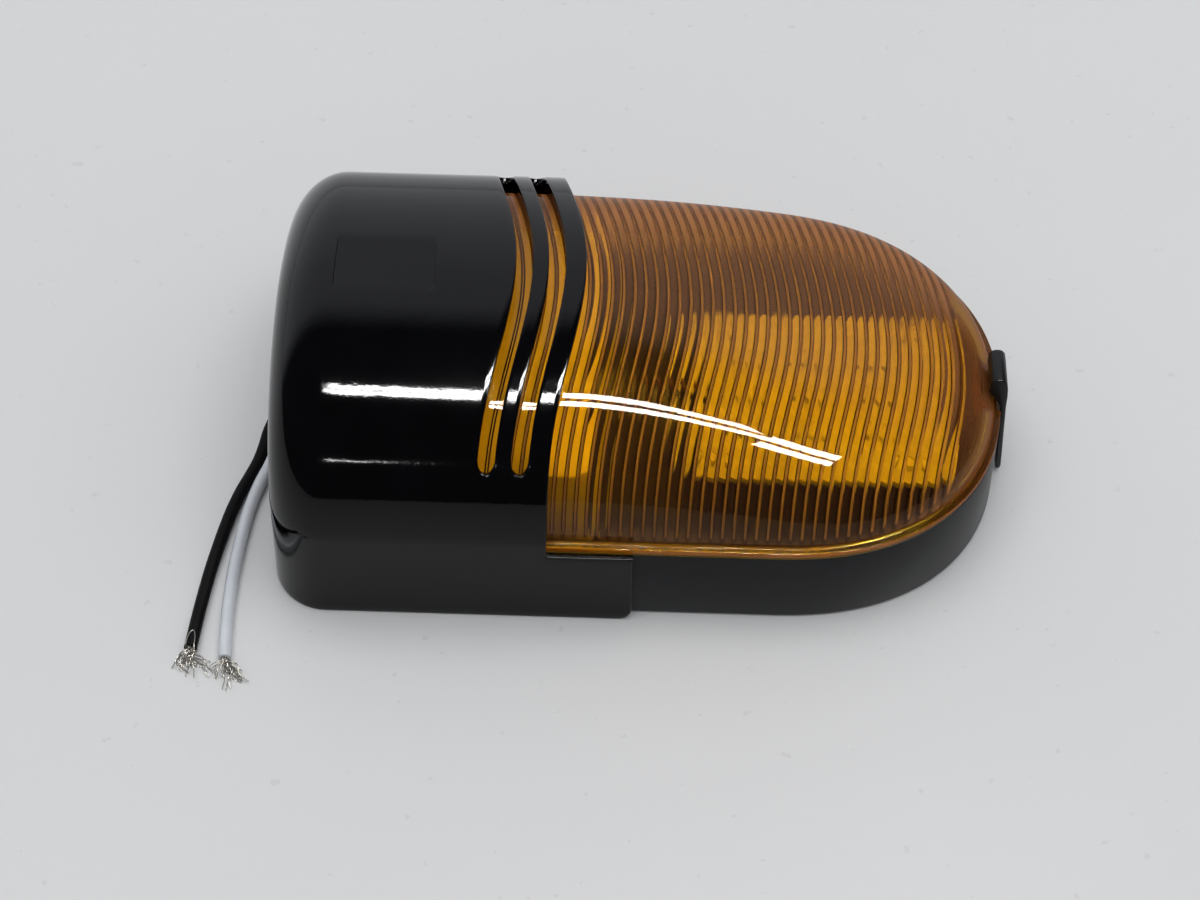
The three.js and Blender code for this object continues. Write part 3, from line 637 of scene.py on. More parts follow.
def strand(draw, start, ahead, side, up):
    """One bare strand: it starts inside the wire and wanders off with small kinks."""
    lean = draw.uniform(-0.95, 0.35)
    heading = unit(ahead + side * lean * 0.6 + up * draw.uniform(-0.25, 0.35))
    path = [start - ahead * 1.2, start.copy()]
    place = start.copy()
    reach = draw.uniform(5.5, 10.0)
    wave, beat, phase = draw.uniform(0.22, 0.5), draw.uniform(5, 11), draw.uniform(0, 6.3)
    for k in range(STRAND_STEPS):
        share = k / STRAND_STEPS
        sideways = side * wave * math.sin(beat * share + phase)
        upwards = up * wave * 0.7 * math.cos(beat * share * 1.3 + phase)
        fall = up * -0.10 * share
        heading = unit(heading + (sideways + upwards) * 0.62 + fall + side * lean * 0.02)
        place = place + heading * reach / STRAND_STEPS
        place[2] = min(max(place[2], STRAND_LOW), STRAND_HIGH)
        path.append(place.copy())
    return path


def strand_loop(end, ahead, side, up):
    """One strand that is bent back over the sleeve."""
    half_turn = [math.pi * t for t in np.linspace(0, 1, 25)]
    loop = [end - ahead * (3.9 * math.sin(a)) + side * (0.95 * math.cos(a)) + up * 1.72 for a in half_turn]
    first = end + ahead * 0.6 + side * 0.8 + up * 0.3
    last = end + ahead * 1.6 - side * 1.2 + up * 0.2
    return [first] + loop + [last]


def frayed_end(name, route, seed, curl=False, count=26):
    """The bare strands past the end of the sleeve, spread over the wire's section."""
    draw = random.Random(seed)
    up = np.array((0, 0, 1.0))
    end = np.array(route[-1], float)
    ahead = unit(end - np.array(route[-2], float))
    side = unit(np.cross(ahead, up))
    paths = []
    for i in range(count):
        turn = GOLDEN_ANGLE * i
        out = math.sqrt((i + 0.5) / count)
        start = end + (side * math.cos(turn) + up * math.sin(turn)) * out
        paths.append(strand(draw, start, ahead, side, up))
    if curl:
        paths.append(strand_loop(end, ahead, side, up))
    return tube(name, paths, STRAND_DIAMETER, 2)


for label, route, seed in (("black", BLACK_ROUTE, 11), ("white", WHITE_ROUTE, 23)):
    sleeve = tube(f"wire_{label}_sleeve", [smooth_route(route)], WIRE_DIAMETER)
    finish_piece(sleeve, f"pvc_{label}", "base", f"pvc_{label}", f"wire_{label}")
    bare = frayed_end(f"strands_{label}_frayed", route, seed, curl=label == "black")
    finish_piece(bare, "tinned", "base", "tinned_strands", f"strands_{label}")

LEAD = [(2.3, 4.4), (12, 4.4), (19, 4.8), (24, 8.6), (28.5, 11.6), (34, 11.4)]
BOARD_LEAD = [(64, 10.8), (70, 10.9), (78, 12.6), (86, 19.2), (93, 19.6), (97, 19.6)]
for node, material, diameter, y, run in (
    ("lead_black", "pvc_black", WIRE_DIAMETER, 5, LEAD),
    ("lead_white", "pvc_white", WIRE_DIAMETER, -1, LEAD),
    ("board_lead_plus", "pvc_red", 1.5, 2, BOARD_LEAD),
    ("board_lead_minus", "pvc_black", 1.5, -2, BOARD_LEAD),
):
    route = [(x, y, z) for x, z in run]
    finish_piece(tube(f"{node}_sleeve", [smooth_route(route)], diameter), material, "base", material, node)


# ---- The lamp's curves ---------------------------------------------------------------------------------


def dome_height(y, half, height):
    rise = height - DOME_BASE
    share = ((SKIRT_TOP - DOME_BASE) / rise) ** DOME_POWER_Z
    reach = half / (1 - share) ** (1 / DOME_POWER_Y)
    return DOME_BASE + rise * (1 - (abs(y) / reach) ** DOME_POWER_Y) ** (1 / DOME_POWER_Z)


def bow(y):
    """How much further forward the hood's edge, the slots and the ribs lie at y."""
    return BOW * (1 + np.cos(np.pi * np.minimum(np.abs(y) / HOOD_HALF, 1)))


def edge_x(y):
    return HOOD_EDGE + bow(y)


def body_half(x, inset):
    along = np.clip((x - TIP_START) / (BODY_TIP - inset - TIP_START), 0, 1)
    return (BODY_HALF - inset) * (1 - along**TIP_POWER) ** (1 / TIP_POWER)


TIP_STEPS, CORNER_STEPS = 64, 12


def outline_half(inset, straights=()):
    """Half of the body's outline in plan, from the tip to the cable end."""
    half = []
    for i in range(TIP_STEPS + 1):
        reach = math.cos(i / TIP_STEPS * math.pi / 2)
        x = TIP_START + (BODY_TIP - inset - TIP_START) * reach ** (2 / TIP_POWER)
        half.append((x, 0.0 if i == 0 else float(body_half(x, inset))))
    half += [(x, BODY_HALF - inset) for x in straights]
    radius = BODY_CORNER - inset
    corner_x, corner_y = BODY_BACK + BODY_CORNER, BODY_HALF - BODY_CORNER
    for i in range(CORNER_STEPS + 1):
        a = (1 + i / CORNER_STEPS) * math.pi / 2
        half.append((corner_x + radius * math.cos(a), corner_y + radius * math.sin(a)))
    return half


def outline(inset, z, straights=()):
    half = outline_half(inset, straights)
    return np.array([(x, y, z) for x, y in half] + [(x, -y, z) for x, y in half[:0:-1]])


def smoothstep(value, low, high):
    t = np.clip((value - low) / (high - low), 0, 1)
    return t * t * (3 - 2 * t)


# ---- Hood ----------------------------------------------------------------------------------------------

FIXED_ROWS = (SLOT_SPREAD, SLOT_STRAIGHT, *RECESS_ROWS)
RIM_TOP = TAB_TOP - HOOD_RIM
TAB_ROWS = 14


def hood_rows():
    """Places across the hood, evenly spaced along its section, with rows on the slots and the recess."""
    y = np.linspace(0, HOOD_HALF, 4000)
    z = dome_height(y, HOOD_HALF, HOOD_TOP)
    run = np.concatenate([[0], np.cumsum(np.hypot(np.diff(y), np.diff(z)))])
    rows = list(np.interp(np.linspace(0, run[-1], 56), run, y))
    for wanted in FIXED_ROWS:
        rows[int(np.argmin(np.abs(np.array(rows) - wanted)))] = wanted
    rows = sorted(set(rows).union(FIXED_ROWS))
    return rows[::-1] + [-r for r in rows[1:]]


def hood_columns():
    """Each column: kind, and what places it."""
    columns = [("end", a) for a in np.linspace(0, math.pi / 2, 13)]
    columns += [("back", -RECESS_STEP), ("back", RECESS_STEP)]
    columns += [("recess", t) for t in np.linspace(0, 1, 15)[1:-1]]
    columns += [("front", -RECESS_STEP), ("front", RECESS_STEP)]
    columns += [("run", t) for t in np.linspace(0, 1, 11)[:-1]]
    half = SLOT_HALF + HOOD_RIM
    rear, front = SLOT_CENTRES
    between = np.linspace(rear + half, front - half, 5)[1:-1]
    before_edge = np.linspace(front + half, -HOOD_RIM, 6)[1:]
    for centre, plain in ((rear, between), (front, before_edge)):
        columns += [("slot", centre, -half * math.cos(math.pi * m / 12)) for m in range(13)]
        columns += [("edge", place) for place in plain]
    return columns


def corner_pull(y):
    beyond = min(max(abs(y) - (RECESS_HALF - RECESS_CORNER), 0), RECESS_CORNER)
    return RECESS_CORNER - math.sqrt(RECESS_CORNER**2 - beyond**2)


def hood_point(column, y):
    """The outer surface at a row, for one column."""
    kind = column[0]
    if kind == "end":
        a = column[1]
        inset = END_RADIUS * (1 - math.sin(a))
        half = HOOD_HALF - inset
        y = y / HOOD_HALF * half
        x = END_RADIUS * (1 - math.cos(a)) + END_CROWN * math.cos(a) * (y / HOOD_HALF) ** 2
        return x, y, dome_height(y, half, HOOD_TOP - inset)
    pull = corner_pull(y)
    rear, front = RECESS_BACK + pull, RECESS_FRONT - pull
    in_recess = False
    if kind == "back":
        x = rear + column[1]
        in_recess = column[1] > 0
    elif kind == "recess":
        x = rear + RECESS_STEP + (front - rear - 2 * RECESS_STEP) * column[1]
        in_recess = True
    elif kind == "front":
        x = front + column[1]
        in_recess = column[1] < 0
    elif kind == "run":
        run_end = edge_x(y) + SLOT_CENTRES[0] - SLOT_HALF - HOOD_RIM
        x = RUN_START + (run_end - RUN_START) * column[1]
    elif kind == "slot":
        half = SLOT_HALF + HOOD_RIM
        end = SLOT_STRAIGHT + math.sqrt(max(half**2 - column[2] ** 2, 0))
        size = abs(y)
        if SLOT_STRAIGHT <= size <= SLOT_SPREAD:
            size = end + (size - SLOT_STRAIGHT) / (SLOT_SPREAD - SLOT_STRAIGHT) * (SLOT_SPREAD - end)
        y = math.copysign(size, y)
        x = edge_x(y) + column[1] + column[2]
    else:
        x = edge_x(y) + column[1]
    z = dome_height(y, HOOD_HALF, HOOD_TOP)
    if in_recess and abs(y) <= RECESS_HALF:
        z = min(z, RECESS_Z)
    return x, y, z


def hood_tab(sign):
    """The tab that runs forward along one side, with a round lower corner."""
    reach = TAB_CORNER - HOOD_RIM
    start = TAB_END - TAB_CORNER
    along = list(np.linspace(edge_x(HOOD_HALF) - HOOD_RIM, start, 12))
    along += [start + reach * math.sin(a) for a in np.linspace(0, math.pi / 2, 9)[1:]]
    bottoms = [TAB_CORNER - math.sqrt(max(reach**2 - max(x - start, 0) ** 2, 0)) for x in along]
    rows = []
    for t in np.linspace(0, 1, TAB_ROWS):
        rows.append([(x, sign * HOOD_HALF, RIM_TOP + (low - RIM_TOP) * t) for x, low in zip(along, bottoms)])
    return np.array(rows)


def make_hood():
    rows = hood_rows()
    columns = hood_columns()
    skirt = [24.6, 23.2, 22.1, RIM_TOP]
    skirt += [RIM_TOP + (HOOD_RIM - RIM_TOP) * t for t in np.linspace(0, 1, TAB_ROWS)[1:]]
    arc = np.array([[hood_point(c, y) for c in columns] for y in rows])
    left, right = [np.array([[(x, y, z) for x, y, _ in arc[row]] for z in skirt]) for row in (0, -1)]
    whole = np.concatenate([left[::-1], arc, right])
    first_row = len(skirt)
    slots = {
        c for c, (one, other) in enumerate(zip(columns, columns[1:]))
        if one[0] == other[0] == "slot" and one[1] == other[1]
    }

    def keep(r, c):
        if c not in slots or not first_row <= r < first_row + len(rows) - 1:
            return True
        inside = [abs(rows[k - first_row]) <= SLOT_STRAIGHT + 1e-9 for k in (r, r + 1)]
        return not all(inside)

    quads = grid_faces(whole, keep, flip=True)
    # End wall: the arc's points run straight down to the bottom rim
    depths = [(SKIRT_TOP - z) / (SKIRT_TOP - HOOD_RIM) for z in [SKIRT_TOP] + skirt]
    quads += grid_faces(np.array([[(x, y, z - d * (z - HOOD_RIM)) for d in depths] for x, y, z in arc[:, 0]]))
    for sign in (1, -1):
        quads += grid_faces(hood_tab(sign), flip=sign < 0)
    vertices, faces = weld(quads)
    points, solid = thicken(vertices, faces, HOOD_WALL, HOOD_RIM)
    hood = make_object("hood_shell", points, solid)
    wire_notch = rounded_rectangle(-4.5, 8.5, -9, 8.2, 2.5)
    boolean(hood, prism("notch", wire_notch, -9, 9, "x"), "DIFFERENCE")
    return hood


hood = make_hood()
finish_piece(hood, "hood", "hood", "hood_plastic", "hood")
shade(hood)


# ---- Base tray -----------------------------------------------------------------------------------------


def make_tray():
    profile = [
        (0.9, 0), (0.45, 0.08), (0.12, 0.35), (0, 0.8), (0, 20.1), (0.1, 20.4), (0.35, TRAY_TOP),
        (1.9, TRAY_TOP), (2.15, 20.35), (2.2, 20.1), (2.2, 18.9), (5.05, 18.9), (5.2, 18.75), (5.2, 17.05),
        (5.05, 16.9), (2.25, 16.9), (2.2, 16.8), (2.2, 3.6), (2.5, 2.75), (3.3, 2.4),
    ]
    straights = list(np.linspace(TIP_START, BODY_BACK + BODY_CORNER, 24)[1:-1])
    loops = [outline(inset, z, straights) for inset, z in profile]
    quads = []
    for first, second in zip(loops, loops[1:]):
        quads += loop_faces(first, second)
    vertices, faces = weld(quads)
    tray_vertices = list(vertices)
    for loop, flip in ((loops[0], True), (loops[-1], False)):
        start = len(tray_vertices)
        tray_vertices += list(loop)
        ring = list(range(start, start + len(loop)))
        faces.append(ring[::-1] if flip else ring)
    tray = make_object("tray_shell", tray_vertices, faces)
    clean_mesh(tray)
    pillars = [(x, y, 16.5, 3.6) for x in BOARD_SCREWS_X for y in (-20, 20)]
    pillars += [(33.5, -29, 7.7, 3.2), (65, 29, 7.7, 3.2), (13.5, -8.5, 5.9, 2.9), (13.5, 12.9, 5.9, 2.9)]
    for x, y, top, radius in pillars:
        boolean(tray, rod("post", x, y, 1.2, top, radius), "UNION")
        boolean(tray, rod("hole", x, y, 2.4, top + 1, 1.6, 28), "DIFFERENCE")
    for x in BOARD_SCREWS_X:
        boolean(tray, box_between("rib", (x - 0.8, -17, 1), (x + 0.8, 17, 6)), "UNION")
    for low, high in ((3.5, 5.7), (-5.7, -3.5)):
        boolean(tray, box_between("ear", (161.4, low, 1), (165.8, high, 9)), "UNION")
    cuts = [
        cross_rod("bore", -6.4, 6.4, BORE_RADIUS),
        box_between("arm_slot", (164.6, -3.3, 3.2), (170, 3.3, 9.4)),
        box_between("groove", (166.8, -5.6, -1), (170, 5.6, 21.5)),
        box_between("grommet_notch", (0, -6.9, 2.5), (6.4, 10.9, 9.2)),
    ]
    cuts += [rod("knock_out", x, y, -1, 1.4, 2.4) for x, y in ((81, -30), (81, 30), (140, 0))]
    for cut in cuts:
        boolean(tray, cut, "DIFFERENCE")
    shade(tray)
    return tray


finish_piece(make_tray(), "tray", "base", "base_plastic", "base_tray")


# ---- Lens ----------------------------------------------------------------------------------------------

LENS_ROWS = 96
LENS_LIFT = 0.4


TAPER_START, TAPER_POWER = 60, 1.7
FREE_START, FREE_END = 70, 125


def lens_section(x, inset):
    """Half width, height and the two powers of the lens's section at x, which change past the hood."""
    tip = BODY_TIP - LENS_INSET - inset
    along = np.clip((x - TAPER_START) / (tip - TAPER_START), 0, 1)
    taper = (1 - along**TAPER_POWER) ** (1 / TAPER_POWER)
    free = smoothstep(x, FREE_START, FREE_END)
    half = body_half(x, LENS_INSET + inset)
    rise = LENS_RISE * taper * (1 + 0.125 * (1 - free)) - inset * np.sqrt(taper)
    return half, rise, 2.3 + 1.6 * free, 2.2 - 0.4 * free


ACROSS = np.cos(np.linspace(0, math.pi, LENS_ROWS + 1))
ACROSS[0], ACROSS[-1] = 1, -1


def lens_column(x, inset, pulled=0.0, lift=0.0):
    """Points across the lens at x, from the left side to the right."""
    half, rise, power_y, power_z = lens_section(x, inset)
    height = max(float(rise) - pulled - lift, 0)
    up = (1 - np.abs(ACROSS) ** power_y) ** (1 / power_z)
    half = float(half) - pulled
    return np.stack([np.full_like(ACROSS, x), ACROSS * half, FLANGE_TOP + lift + height * up], axis=-1)


def corner_columns(inset, steps, lift=0.0):
    """The columns round the lens's corner at the cable end, and the x where they end."""
    back = BODY_BACK + LENS_INSET + inset
    radius = LENS_CORNER - inset
    columns = []
    for a in np.linspace(0, math.pi / 2, steps + 1):
        x = back + radius * (1 - math.cos(a))
        columns.append(lens_column(x, inset, radius * (1 - math.sin(a)), lift))
    return columns, back + radius


def lens_outside(inset=0.0, lift=LENS_LIFT):
    """The outer surface, its end wall, and the places of the columns along its straight sides."""
    columns, start = corner_columns(inset, CORNER_STEPS, lift)
    straights = list(np.linspace(start, 54, 14)[1:]) + list(np.linspace(54, TIP_START, 44)[1:-1])
    columns += [lens_column(x, inset, 0, lift) for x in straights]
    tip_length = BODY_TIP - LENS_INSET - inset - TIP_START
    for i in range(TIP_STEPS + 1):
        reach = math.sin(i / TIP_STEPS * math.pi / 2)
        columns.append(lens_column(TIP_START + tip_length * reach ** (2 / TIP_POWER), inset, 0, lift))
    columns[-1][:, 1] = 0
    columns[-1][:, 2] = FLANGE_TOP + lift
    grid = np.array(columns)
    foot = FLANGE_TOP + lift
    depths = np.linspace(0, 1, 8)
    wall = np.array([[(x, y, z + d * (foot - z)) for d in depths] for x, y, z in grid[0]])
    return grid, wall, straights


def foot_of(grid, z):
    """The loop round the foot of a surface and its end wall, from the tip."""
    foot = np.concatenate([grid[::-1, 0], grid[0, 1:-1], grid[:-1, -1]])
    foot[:, 2] = z
    return foot


def finder(vertices):
    """A function from a loop of points to their places in the list of vertices."""
    places = {tuple(np.round(v, 3) + 0.0): i for i, v in enumerate(vertices)}
    return lambda loop: [places[tuple(np.round(p, 3) + 0.0)] for p in loop]


def foot_loop(inset, z, straights):
    """The flange's outline, point for point beside the foot of the outer surface."""
    half = outline_half(inset, straights[::-1])
    back, width = half[-1]
    across = [(back, y, z) for y in ACROSS[1:-1] * width]
    return np.array([(x, y, z) for x, y in half] + across + [(x, -y, z) for x, y in half[:0:-1]])


def rib_profile(u):
    """Height of the ribs at u: a narrow roof-shaped ridge, then a broad band that bulges a little."""
    phase = (u - RIB_FIRST) / RIB_PITCH
    side = abs(phase - round(phase))
    if side < RIDGE_HALF:
        blunt = math.sqrt(RIDGE_TIP)
        slope = math.sqrt((side / RIDGE_HALF) ** 2 + RIDGE_TIP) - blunt
        return RIB_HEIGHT * (1 - slope / (math.sqrt(1 + RIDGE_TIP) - blunt))
    return RIB_SAG * (1 - ((0.5 - side) / (0.5 - RIDGE_HALF)) ** 2)


def inner_steps(start, tip_x):
    """For each inner column past the corner: where it starts, and how much it bows forward with the ribs."""
    steps = [(b, smoothstep(b, 30, 44)) for b in np.linspace(start, 46, 14)[1:]]
    count = int(round((RIB_LAST - RIB_FIRST) / RIB_PITCH))
    ridge = list(RIDGE_HALF * np.array([-1, -0.75, -0.5, -0.3, -0.15, 0, 0.15, 0.3, 0.5, 0.75, 1]))
    phases = ridge + [0.28, 0.39, 0.5, 0.61, 0.72]
    for n in range(count + 1):
        steps += [(RIB_FIRST + RIB_PITCH * (n + p), 1.0) for p in (phases if n < count else ridge)]
    last = steps[-1][0]
    end = tip_x - float(bow(0.0))
    steps += [(last + (end - last) * math.sin(t * math.pi / 2), 1.0) for t in np.linspace(0, 1, 14)[1:]]
    return steps


def lens_inside():
    """The ribbed inner surface, its end wall and its foot. Its columns follow the ribs."""
    inset = LENS_WALL
    tip_x = BODY_TIP - LENS_INSET - inset
    columns, start = corner_columns(inset, 8)
    bases = [None] * len(columns)
    for base, weight in inner_steps(start, tip_x):
        x = np.full_like(ACROSS, base)
        for _ in range(80):
            y = np.abs(ACROSS) * body_half(x, LENS_INSET + inset)
            x = np.minimum(0.5 * x + 0.5 * (base + weight * bow(y)), tip_x)
        half, rise, power_y, power_z = lens_section(x, inset)
        up = (1 - np.abs(ACROSS) ** power_y) ** (1 / power_z)
        columns.append(np.stack([x, ACROSS * half, FLANGE_TOP + rise * up], axis=-1))
        bases.append(base)
    columns[-1] = np.tile([tip_x, 0.0, FLANGE_TOP], (len(ACROSS), 1))
    grid = np.array(columns)
    normal = unit(np.cross(np.gradient(grid, axis=1), np.gradient(grid, axis=0)))
    normal[normal[..., 2] < 0] *= -1
    lengths = np.linalg.norm(np.diff(grid, axis=1), axis=2)
    run = np.concatenate([np.zeros((len(grid), 1)), np.cumsum(lengths, axis=1)], axis=1)
    fade = smoothstep(np.minimum(run, run[:, -1:] - run), 1.6, 2.6)
    for c, base in enumerate(bases):
        if base is None or not RIB_FIRST - 0.6 <= base <= RIB_LAST + 0.6:
            continue
        grid[c] -= normal[c] * (rib_profile(base) * fade[c])[:, None]
    depths = np.linspace(0, 1, 6)
    wall = np.array([[(x, y, z + d * (FLANGE_TOP - z)) for d in depths] for x, y, z in grid[0]])
    return grid, wall, foot_of(grid, FLANGE_TOP)


def dome_solid(name, inset):
    """The space under the outer surface, down to the flange, as a closed solid."""
    grid, wall, _ = lens_outside(inset, 0.0)
    quads = grid_faces(grid) + grid_faces(wall)
    top = foot_of(grid, FLANGE_TOP)
    bottom = foot_of(grid, FLANGE_BOTTOM)
    quads += loop_faces(top, bottom, flip=True)
    vertices, faces = weld(quads)
    faces.append(finder(vertices)(bottom)[::-1])
    return make_object(name, vertices, faces)


def cut_clip_notch(lens):
    """A walled pocket in the lens's tip, open to the outside, for the clip's head."""
    inside = dome_solid("pocket_space", 0.8)
    side, wall = 5.6, 1.2
    low = (161.3, -side - wall, FLANGE_BOTTOM + 0.01)
    pocket = box_between("pocket", low, (167.1, side + wall, 40))
    boolean(pocket, inside, "INTERSECT")
    boolean(lens, pocket, "UNION")
    mouth = [
        (162.5, 27.4), (163.4, 27.4), (166.8, FLANGE_TOP), (166.8, 19.8), (173, 19.8), (173, 45), (162.5, 45),
    ]
    boolean(lens, prism("mouth", mouth, -side, side, "y"), "DIFFERENCE")


def make_lens():
    grid, wall, straights = lens_outside()
    quads = grid_faces(grid) + grid_faces(wall)
    foot = foot_of(grid, FLANGE_TOP + LENS_LIFT)
    profile = [
        (1.5, FLANGE_TOP + 0.14), (1.2, FLANGE_TOP), (0.35, FLANGE_TOP), (0.1, 22.2), (0, 21.95),
        (0, 21.15), (0.1, 20.9), (0.35, FLANGE_BOTTOM),
    ]
    loops = [foot] + [foot_loop(inset, z, straights) for inset, z in profile]
    for first, second in zip(loops, loops[1:]):
        quads += loop_faces(first, second, flip=True)
    inner_grid, inner_wall, inner_foot = lens_inside()
    quads += grid_faces(inner_grid, flip=True) + grid_faces(inner_wall, flip=True)
    inner_bottom = inner_foot.copy()
    inner_bottom[:, 2] = FLANGE_BOTTOM
    quads += loop_faces(inner_foot, inner_bottom)
    vertices, faces = weld(quads)
    find = finder(vertices)
    ring = (loops[-1], inner_bottom)
    flat = [i for loop in ring for i in find(loop)]
    for triangle in tessellate_polygon([[Vector(p) for p in loop] for loop in ring]):
        corners = [flat[i] for i in triangle]
        if len(set(corners)) == 3:
            a, b, c = (vertices[i] for i in corners)
            faces.append(corners if np.cross(b - a, c - a)[2] < 0 else corners[::-1])
    lens = make_object("lens_shell", vertices, faces, 50)
    cut_clip_notch(lens)
    shade(lens, 45)
    return lens


def is_inside(x, y, z):
    """Whether a point, in millimetres, lies nearer the inner surface than the outer one."""
    half, rise, power_y, power_z = lens_section(x, 1.0)
    share = min(abs(y) / max(float(half), 0.001), 1)
    return z < FLANGE_TOP + float(rise) * (1 - share**power_y) ** (1 / power_z) and share < 1


lens = finish_piece(make_lens(), "amber", "base", "lens_amber", "lens")
lens.data.materials.append(M["ribs"])
for polygon in lens.data.polygons:
    x, y, z = polygon.center / MM
    if FLANGE_TOP < z and x + X_CENTRE < BODY_TIP - CLEAR_TIP and is_inside(x + X_CENTRE, y, z):
        polygon.material_index = 1


# ---- Latch ---------------------------------------------------------------------------------------------


def make_latch():
    """The see-saw clip. Known fault: the outline is reversed, so the body's faces point in. The arm and the
    eye aren't joined to it, and pieces of the bore's rod are left in the eye."""

    def outer(z, out=0.0):
        return (169.8 - 0.045 * (z - 0.9) + out, z)

    side = [
        outer(0.9, -1.25), outer(0.9, -0.3), outer(1.9), outer(22.6), outer(26, 0.15), outer(28.5, 0.1),
        outer(30.5, -0.25), outer(31.3, -0.8), outer(31.6, -1.5), (165.9, 31.6), (165.0, 31.2), (164.4, 30.1),
        (164.4, 28.2), (164.9, 26.8), outer(22.6, -1.25),
    ]
    latch = prism("latch_piece", side[::-1], -5, 5, "y")
    bevel(latch, 0.3, 3, 35)
    boolean(latch, box_between("arm", (PIN_X, -2.8, 4.6), (168.9, 2.8, 7.4)), "UNION")
    boolean(latch, cross_rod("eye", -2.8, 2.8, 2.4), "UNION")
    boolean(latch, cross_rod("bore", -4, 4, BORE_RADIUS), "DIFFERENCE")
    shade(latch, 40)
    return latch


finish_piece(make_latch(), "latch", "latch", "latch_plastic", "latch_clip")


# ---- Inner parts ---------------------------------------------------------------------------------------


def refined(node, width, segments=2, angle=35):
    """A bevelled, smooth copy of a CAD node."""
    obj = link(f"{node}_finished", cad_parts[node].data.copy())
    clean_mesh(obj, flatten=True)
    bevel(obj, width, segments, angle)
    shade(obj, 40)
    return obj


INNER = [
    ("led_board", 0.12, "board", "white_board"),
    ("driver_board", 0.12, "driver", "green_board"),
    ("driver_cover", 0.4, "cover", "white_plastic"),
    ("cable_clamp", 0.35, "tray", "base_plastic"),
    ("cable_grommet", 0.4, "rubber", "rubber"),
    ("lens_gasket", 0.2, "rubber", "rubber"),
    ("capacitor_large", 0.5, "sleeve", "capacitor_sleeve"),
    ("capacitor_small", 0.5, "sleeve", "capacitor_sleeve"),
    ("choke", 0.8, "copper", "copper"),
    ("bridge_rectifier", 0.3, "chip", "chip_plastic"),
    ("flasher_chip", 0.2, "chip", "chip_plastic"),
    ("latch_pin", 0.2, "steel", "steel"),
]
INNER += [(f"led_{i}", 0.15, "led", "led_phosphor") for i in range(1, 10)]
INNER += [(f"led_board_screw_{i}", 0.15, "steel", "steel") for i in range(1, 5)]
INNER += [(f"{name}_screw_{i}", 0.15, "steel", "steel") for name in ("driver", "clamp") for i in (1, 2)]
for node, width, material, slot_name in INNER:
    finish_piece(refined(node, width), material, "base", slot_name, node)


# ---- Stage ---------------------------------------------------------------------------------------------

scene = bpy.context.scene
scene.view_settings.view_transform = "Standard"


def table_material():
    """Pale board with a faint tone, a few specks and a low sheen."""
    n = Nodes("table")
    pale = n.mix(n.patches(2.2, 4), (0.80, 0.80, 0.79), (0.84, 0.84, 0.835))
    specks = n.span(n.noise(260, 2), 0.70, 0.74, 0, 0.25)
    return n.set(
        Base_Color=n.mix(specks, pale, (0.55, 0.54, 0.52)),
        Roughness=n.patches(9, 3, 0.32, 0.42),
        Normal=n.bump(n.noise(500, 2), 0.00003),
    )


bpy.ops.mesh.primitive_plane_add(size=12, location=(0, 2, -0.0001))
floor = bpy.context.object
floor.name = "table"
floor.data.materials.append(table_material())

EVEN_LIGHT = 0.42
PALE_BACKGROUND = 0.78


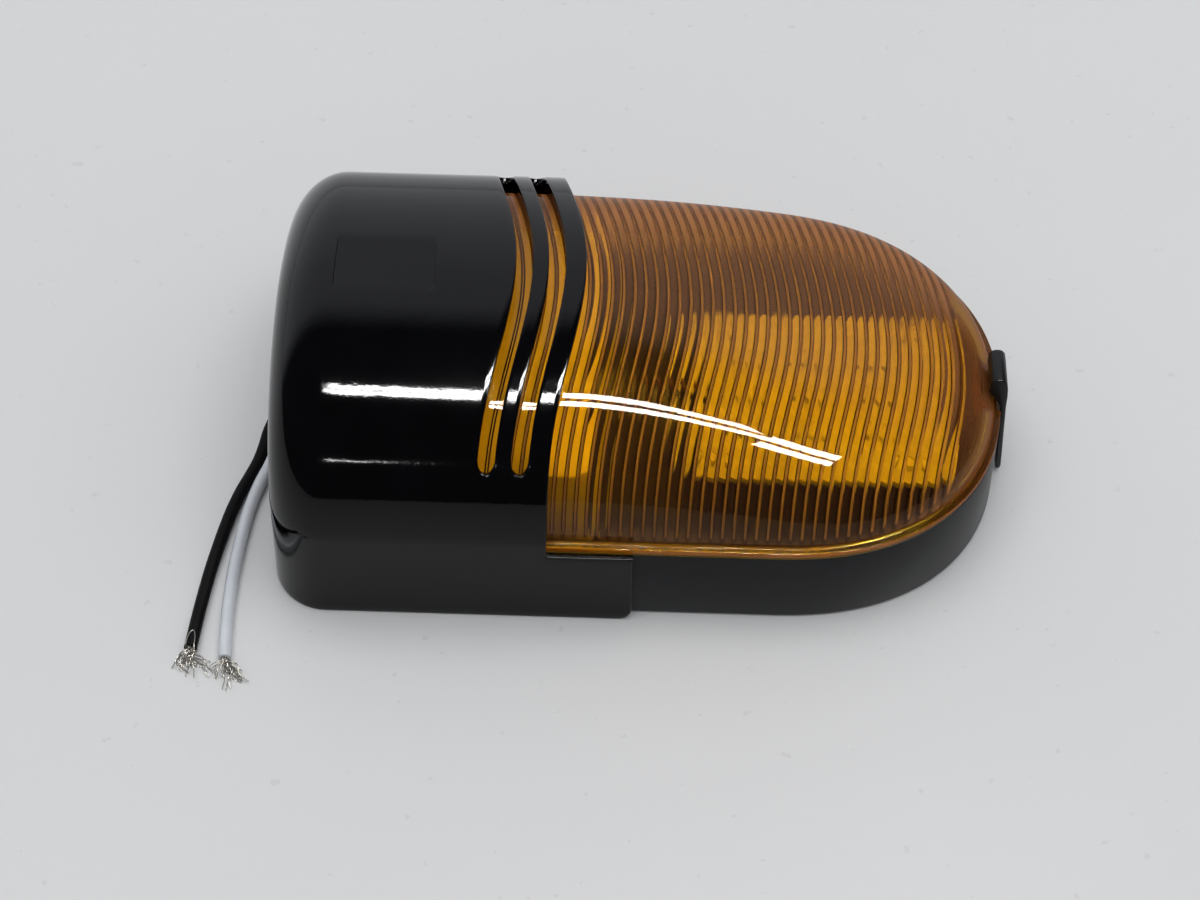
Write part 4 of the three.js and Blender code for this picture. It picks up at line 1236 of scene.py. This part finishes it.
def make_room():
    """In reflections the room is bright on the far side, and dark overhead and behind the photo's viewpoint.
    Its diffuse light is even, and its background is plain."""
    world = bpy.data.worlds.new("room")
    scene.world = world
    t = Tree(world)
    axes = t.add("ShaderNodeSeparateXYZ")
    t.wire(t.add("ShaderNodeTexCoord").outputs["Generated"], axes.inputs[0])
    lean = t.maths("MULTIPLY", t.maths("MAXIMUM", axes.outputs["X"], 0.0), 0.6)
    across = t.maths("SUBTRACT", axes.outputs["Y"], lean)
    mirrored = t.span(across, 0.27, 0.46, 0.05, 0.8, interpolation_type="SMOOTHSTEP")
    path = t.add("ShaderNodeLightPath").outputs
    lit = t.mix(path["Is Diffuse Ray"], mirrored, EVEN_LIGHT, "FLOAT")
    background = t.add("ShaderNodeBackground")
    t.feed(background.inputs["Color"], (0.96, 0.98, 1.03))
    t.wire(t.mix(path["Is Camera Ray"], lit, PALE_BACKGROUND, "FLOAT"), background.inputs["Strength"])
    t.wire(background.outputs[0], t.add("ShaderNodeOutputWorld").inputs[0])


make_room()


def area_lamp(name, size, energy):
    data = bpy.data.lights.new(name, "AREA")
    data.shape = "RECTANGLE"
    data.size, data.size_y = size
    data.energy = energy
    return link(name, data)


def aimed_light(name, place, target, size, energy, mirrored=True):
    """A lamp aimed at a point. It either shows in the gloss or gives diffuse light."""
    lamp = area_lamp(name, size, energy)
    lamp.location = place
    lamp.rotation_euler = (Vector(target) - Vector(place)).to_track_quat("-Z", "Y").to_euler()
    lamp.visible_glossy = mirrored
    lamp.visible_diffuse = not mirrored


def strip_light(name, start, end, height, width, shift, radiance):
    """A long lamp under the ceiling, from start to end in plan. It gives no diffuse light, and shows in the
    gloss."""
    (x0, y0), (x1, y1) = start, end
    length = math.hypot(x1 - x0, y1 - y0)
    turn = math.atan2(y1 - y0, x1 - x0)
    lamp = area_lamp(name, (length, width), radiance * math.pi * length * width)
    lamp.location = ((x0 + x1) / 2 - math.sin(turn) * shift, (y0 + y1) / 2 + math.cos(turn) * shift, height)
    lamp.rotation_euler = (0, 0, turn)
    lamp.visible_diffuse = False


CEILING = 2.0
STRIP_RADIANCE = 85
aimed_light("overhead", (0.0, 0.1, 2.4), (0, 0, 0), (2.6, 2.0), 27, mirrored=False)
for label, start, end, width, apart in (
    ("a", (-0.36, -0.345), (0.0, -0.44), 0.07, 0.045),
    ("b", (0.01, -0.26), (0.775, -0.02), 0.10, 0.078),
    ("c", (0.735, -0.20), (1.15, -0.30), 0.19, 0.135),
):
    for side, shift in (("left", apart), ("right", -apart)):
        strip_light(f"strip_{label}_{side}", start, end, CEILING, width, shift, STRIP_RADIANCE)
aimed_light("low_strip", (-0.38, -2.46, 1.6), (0, 0, 0.04), (0.18, 0.035), 0.9)
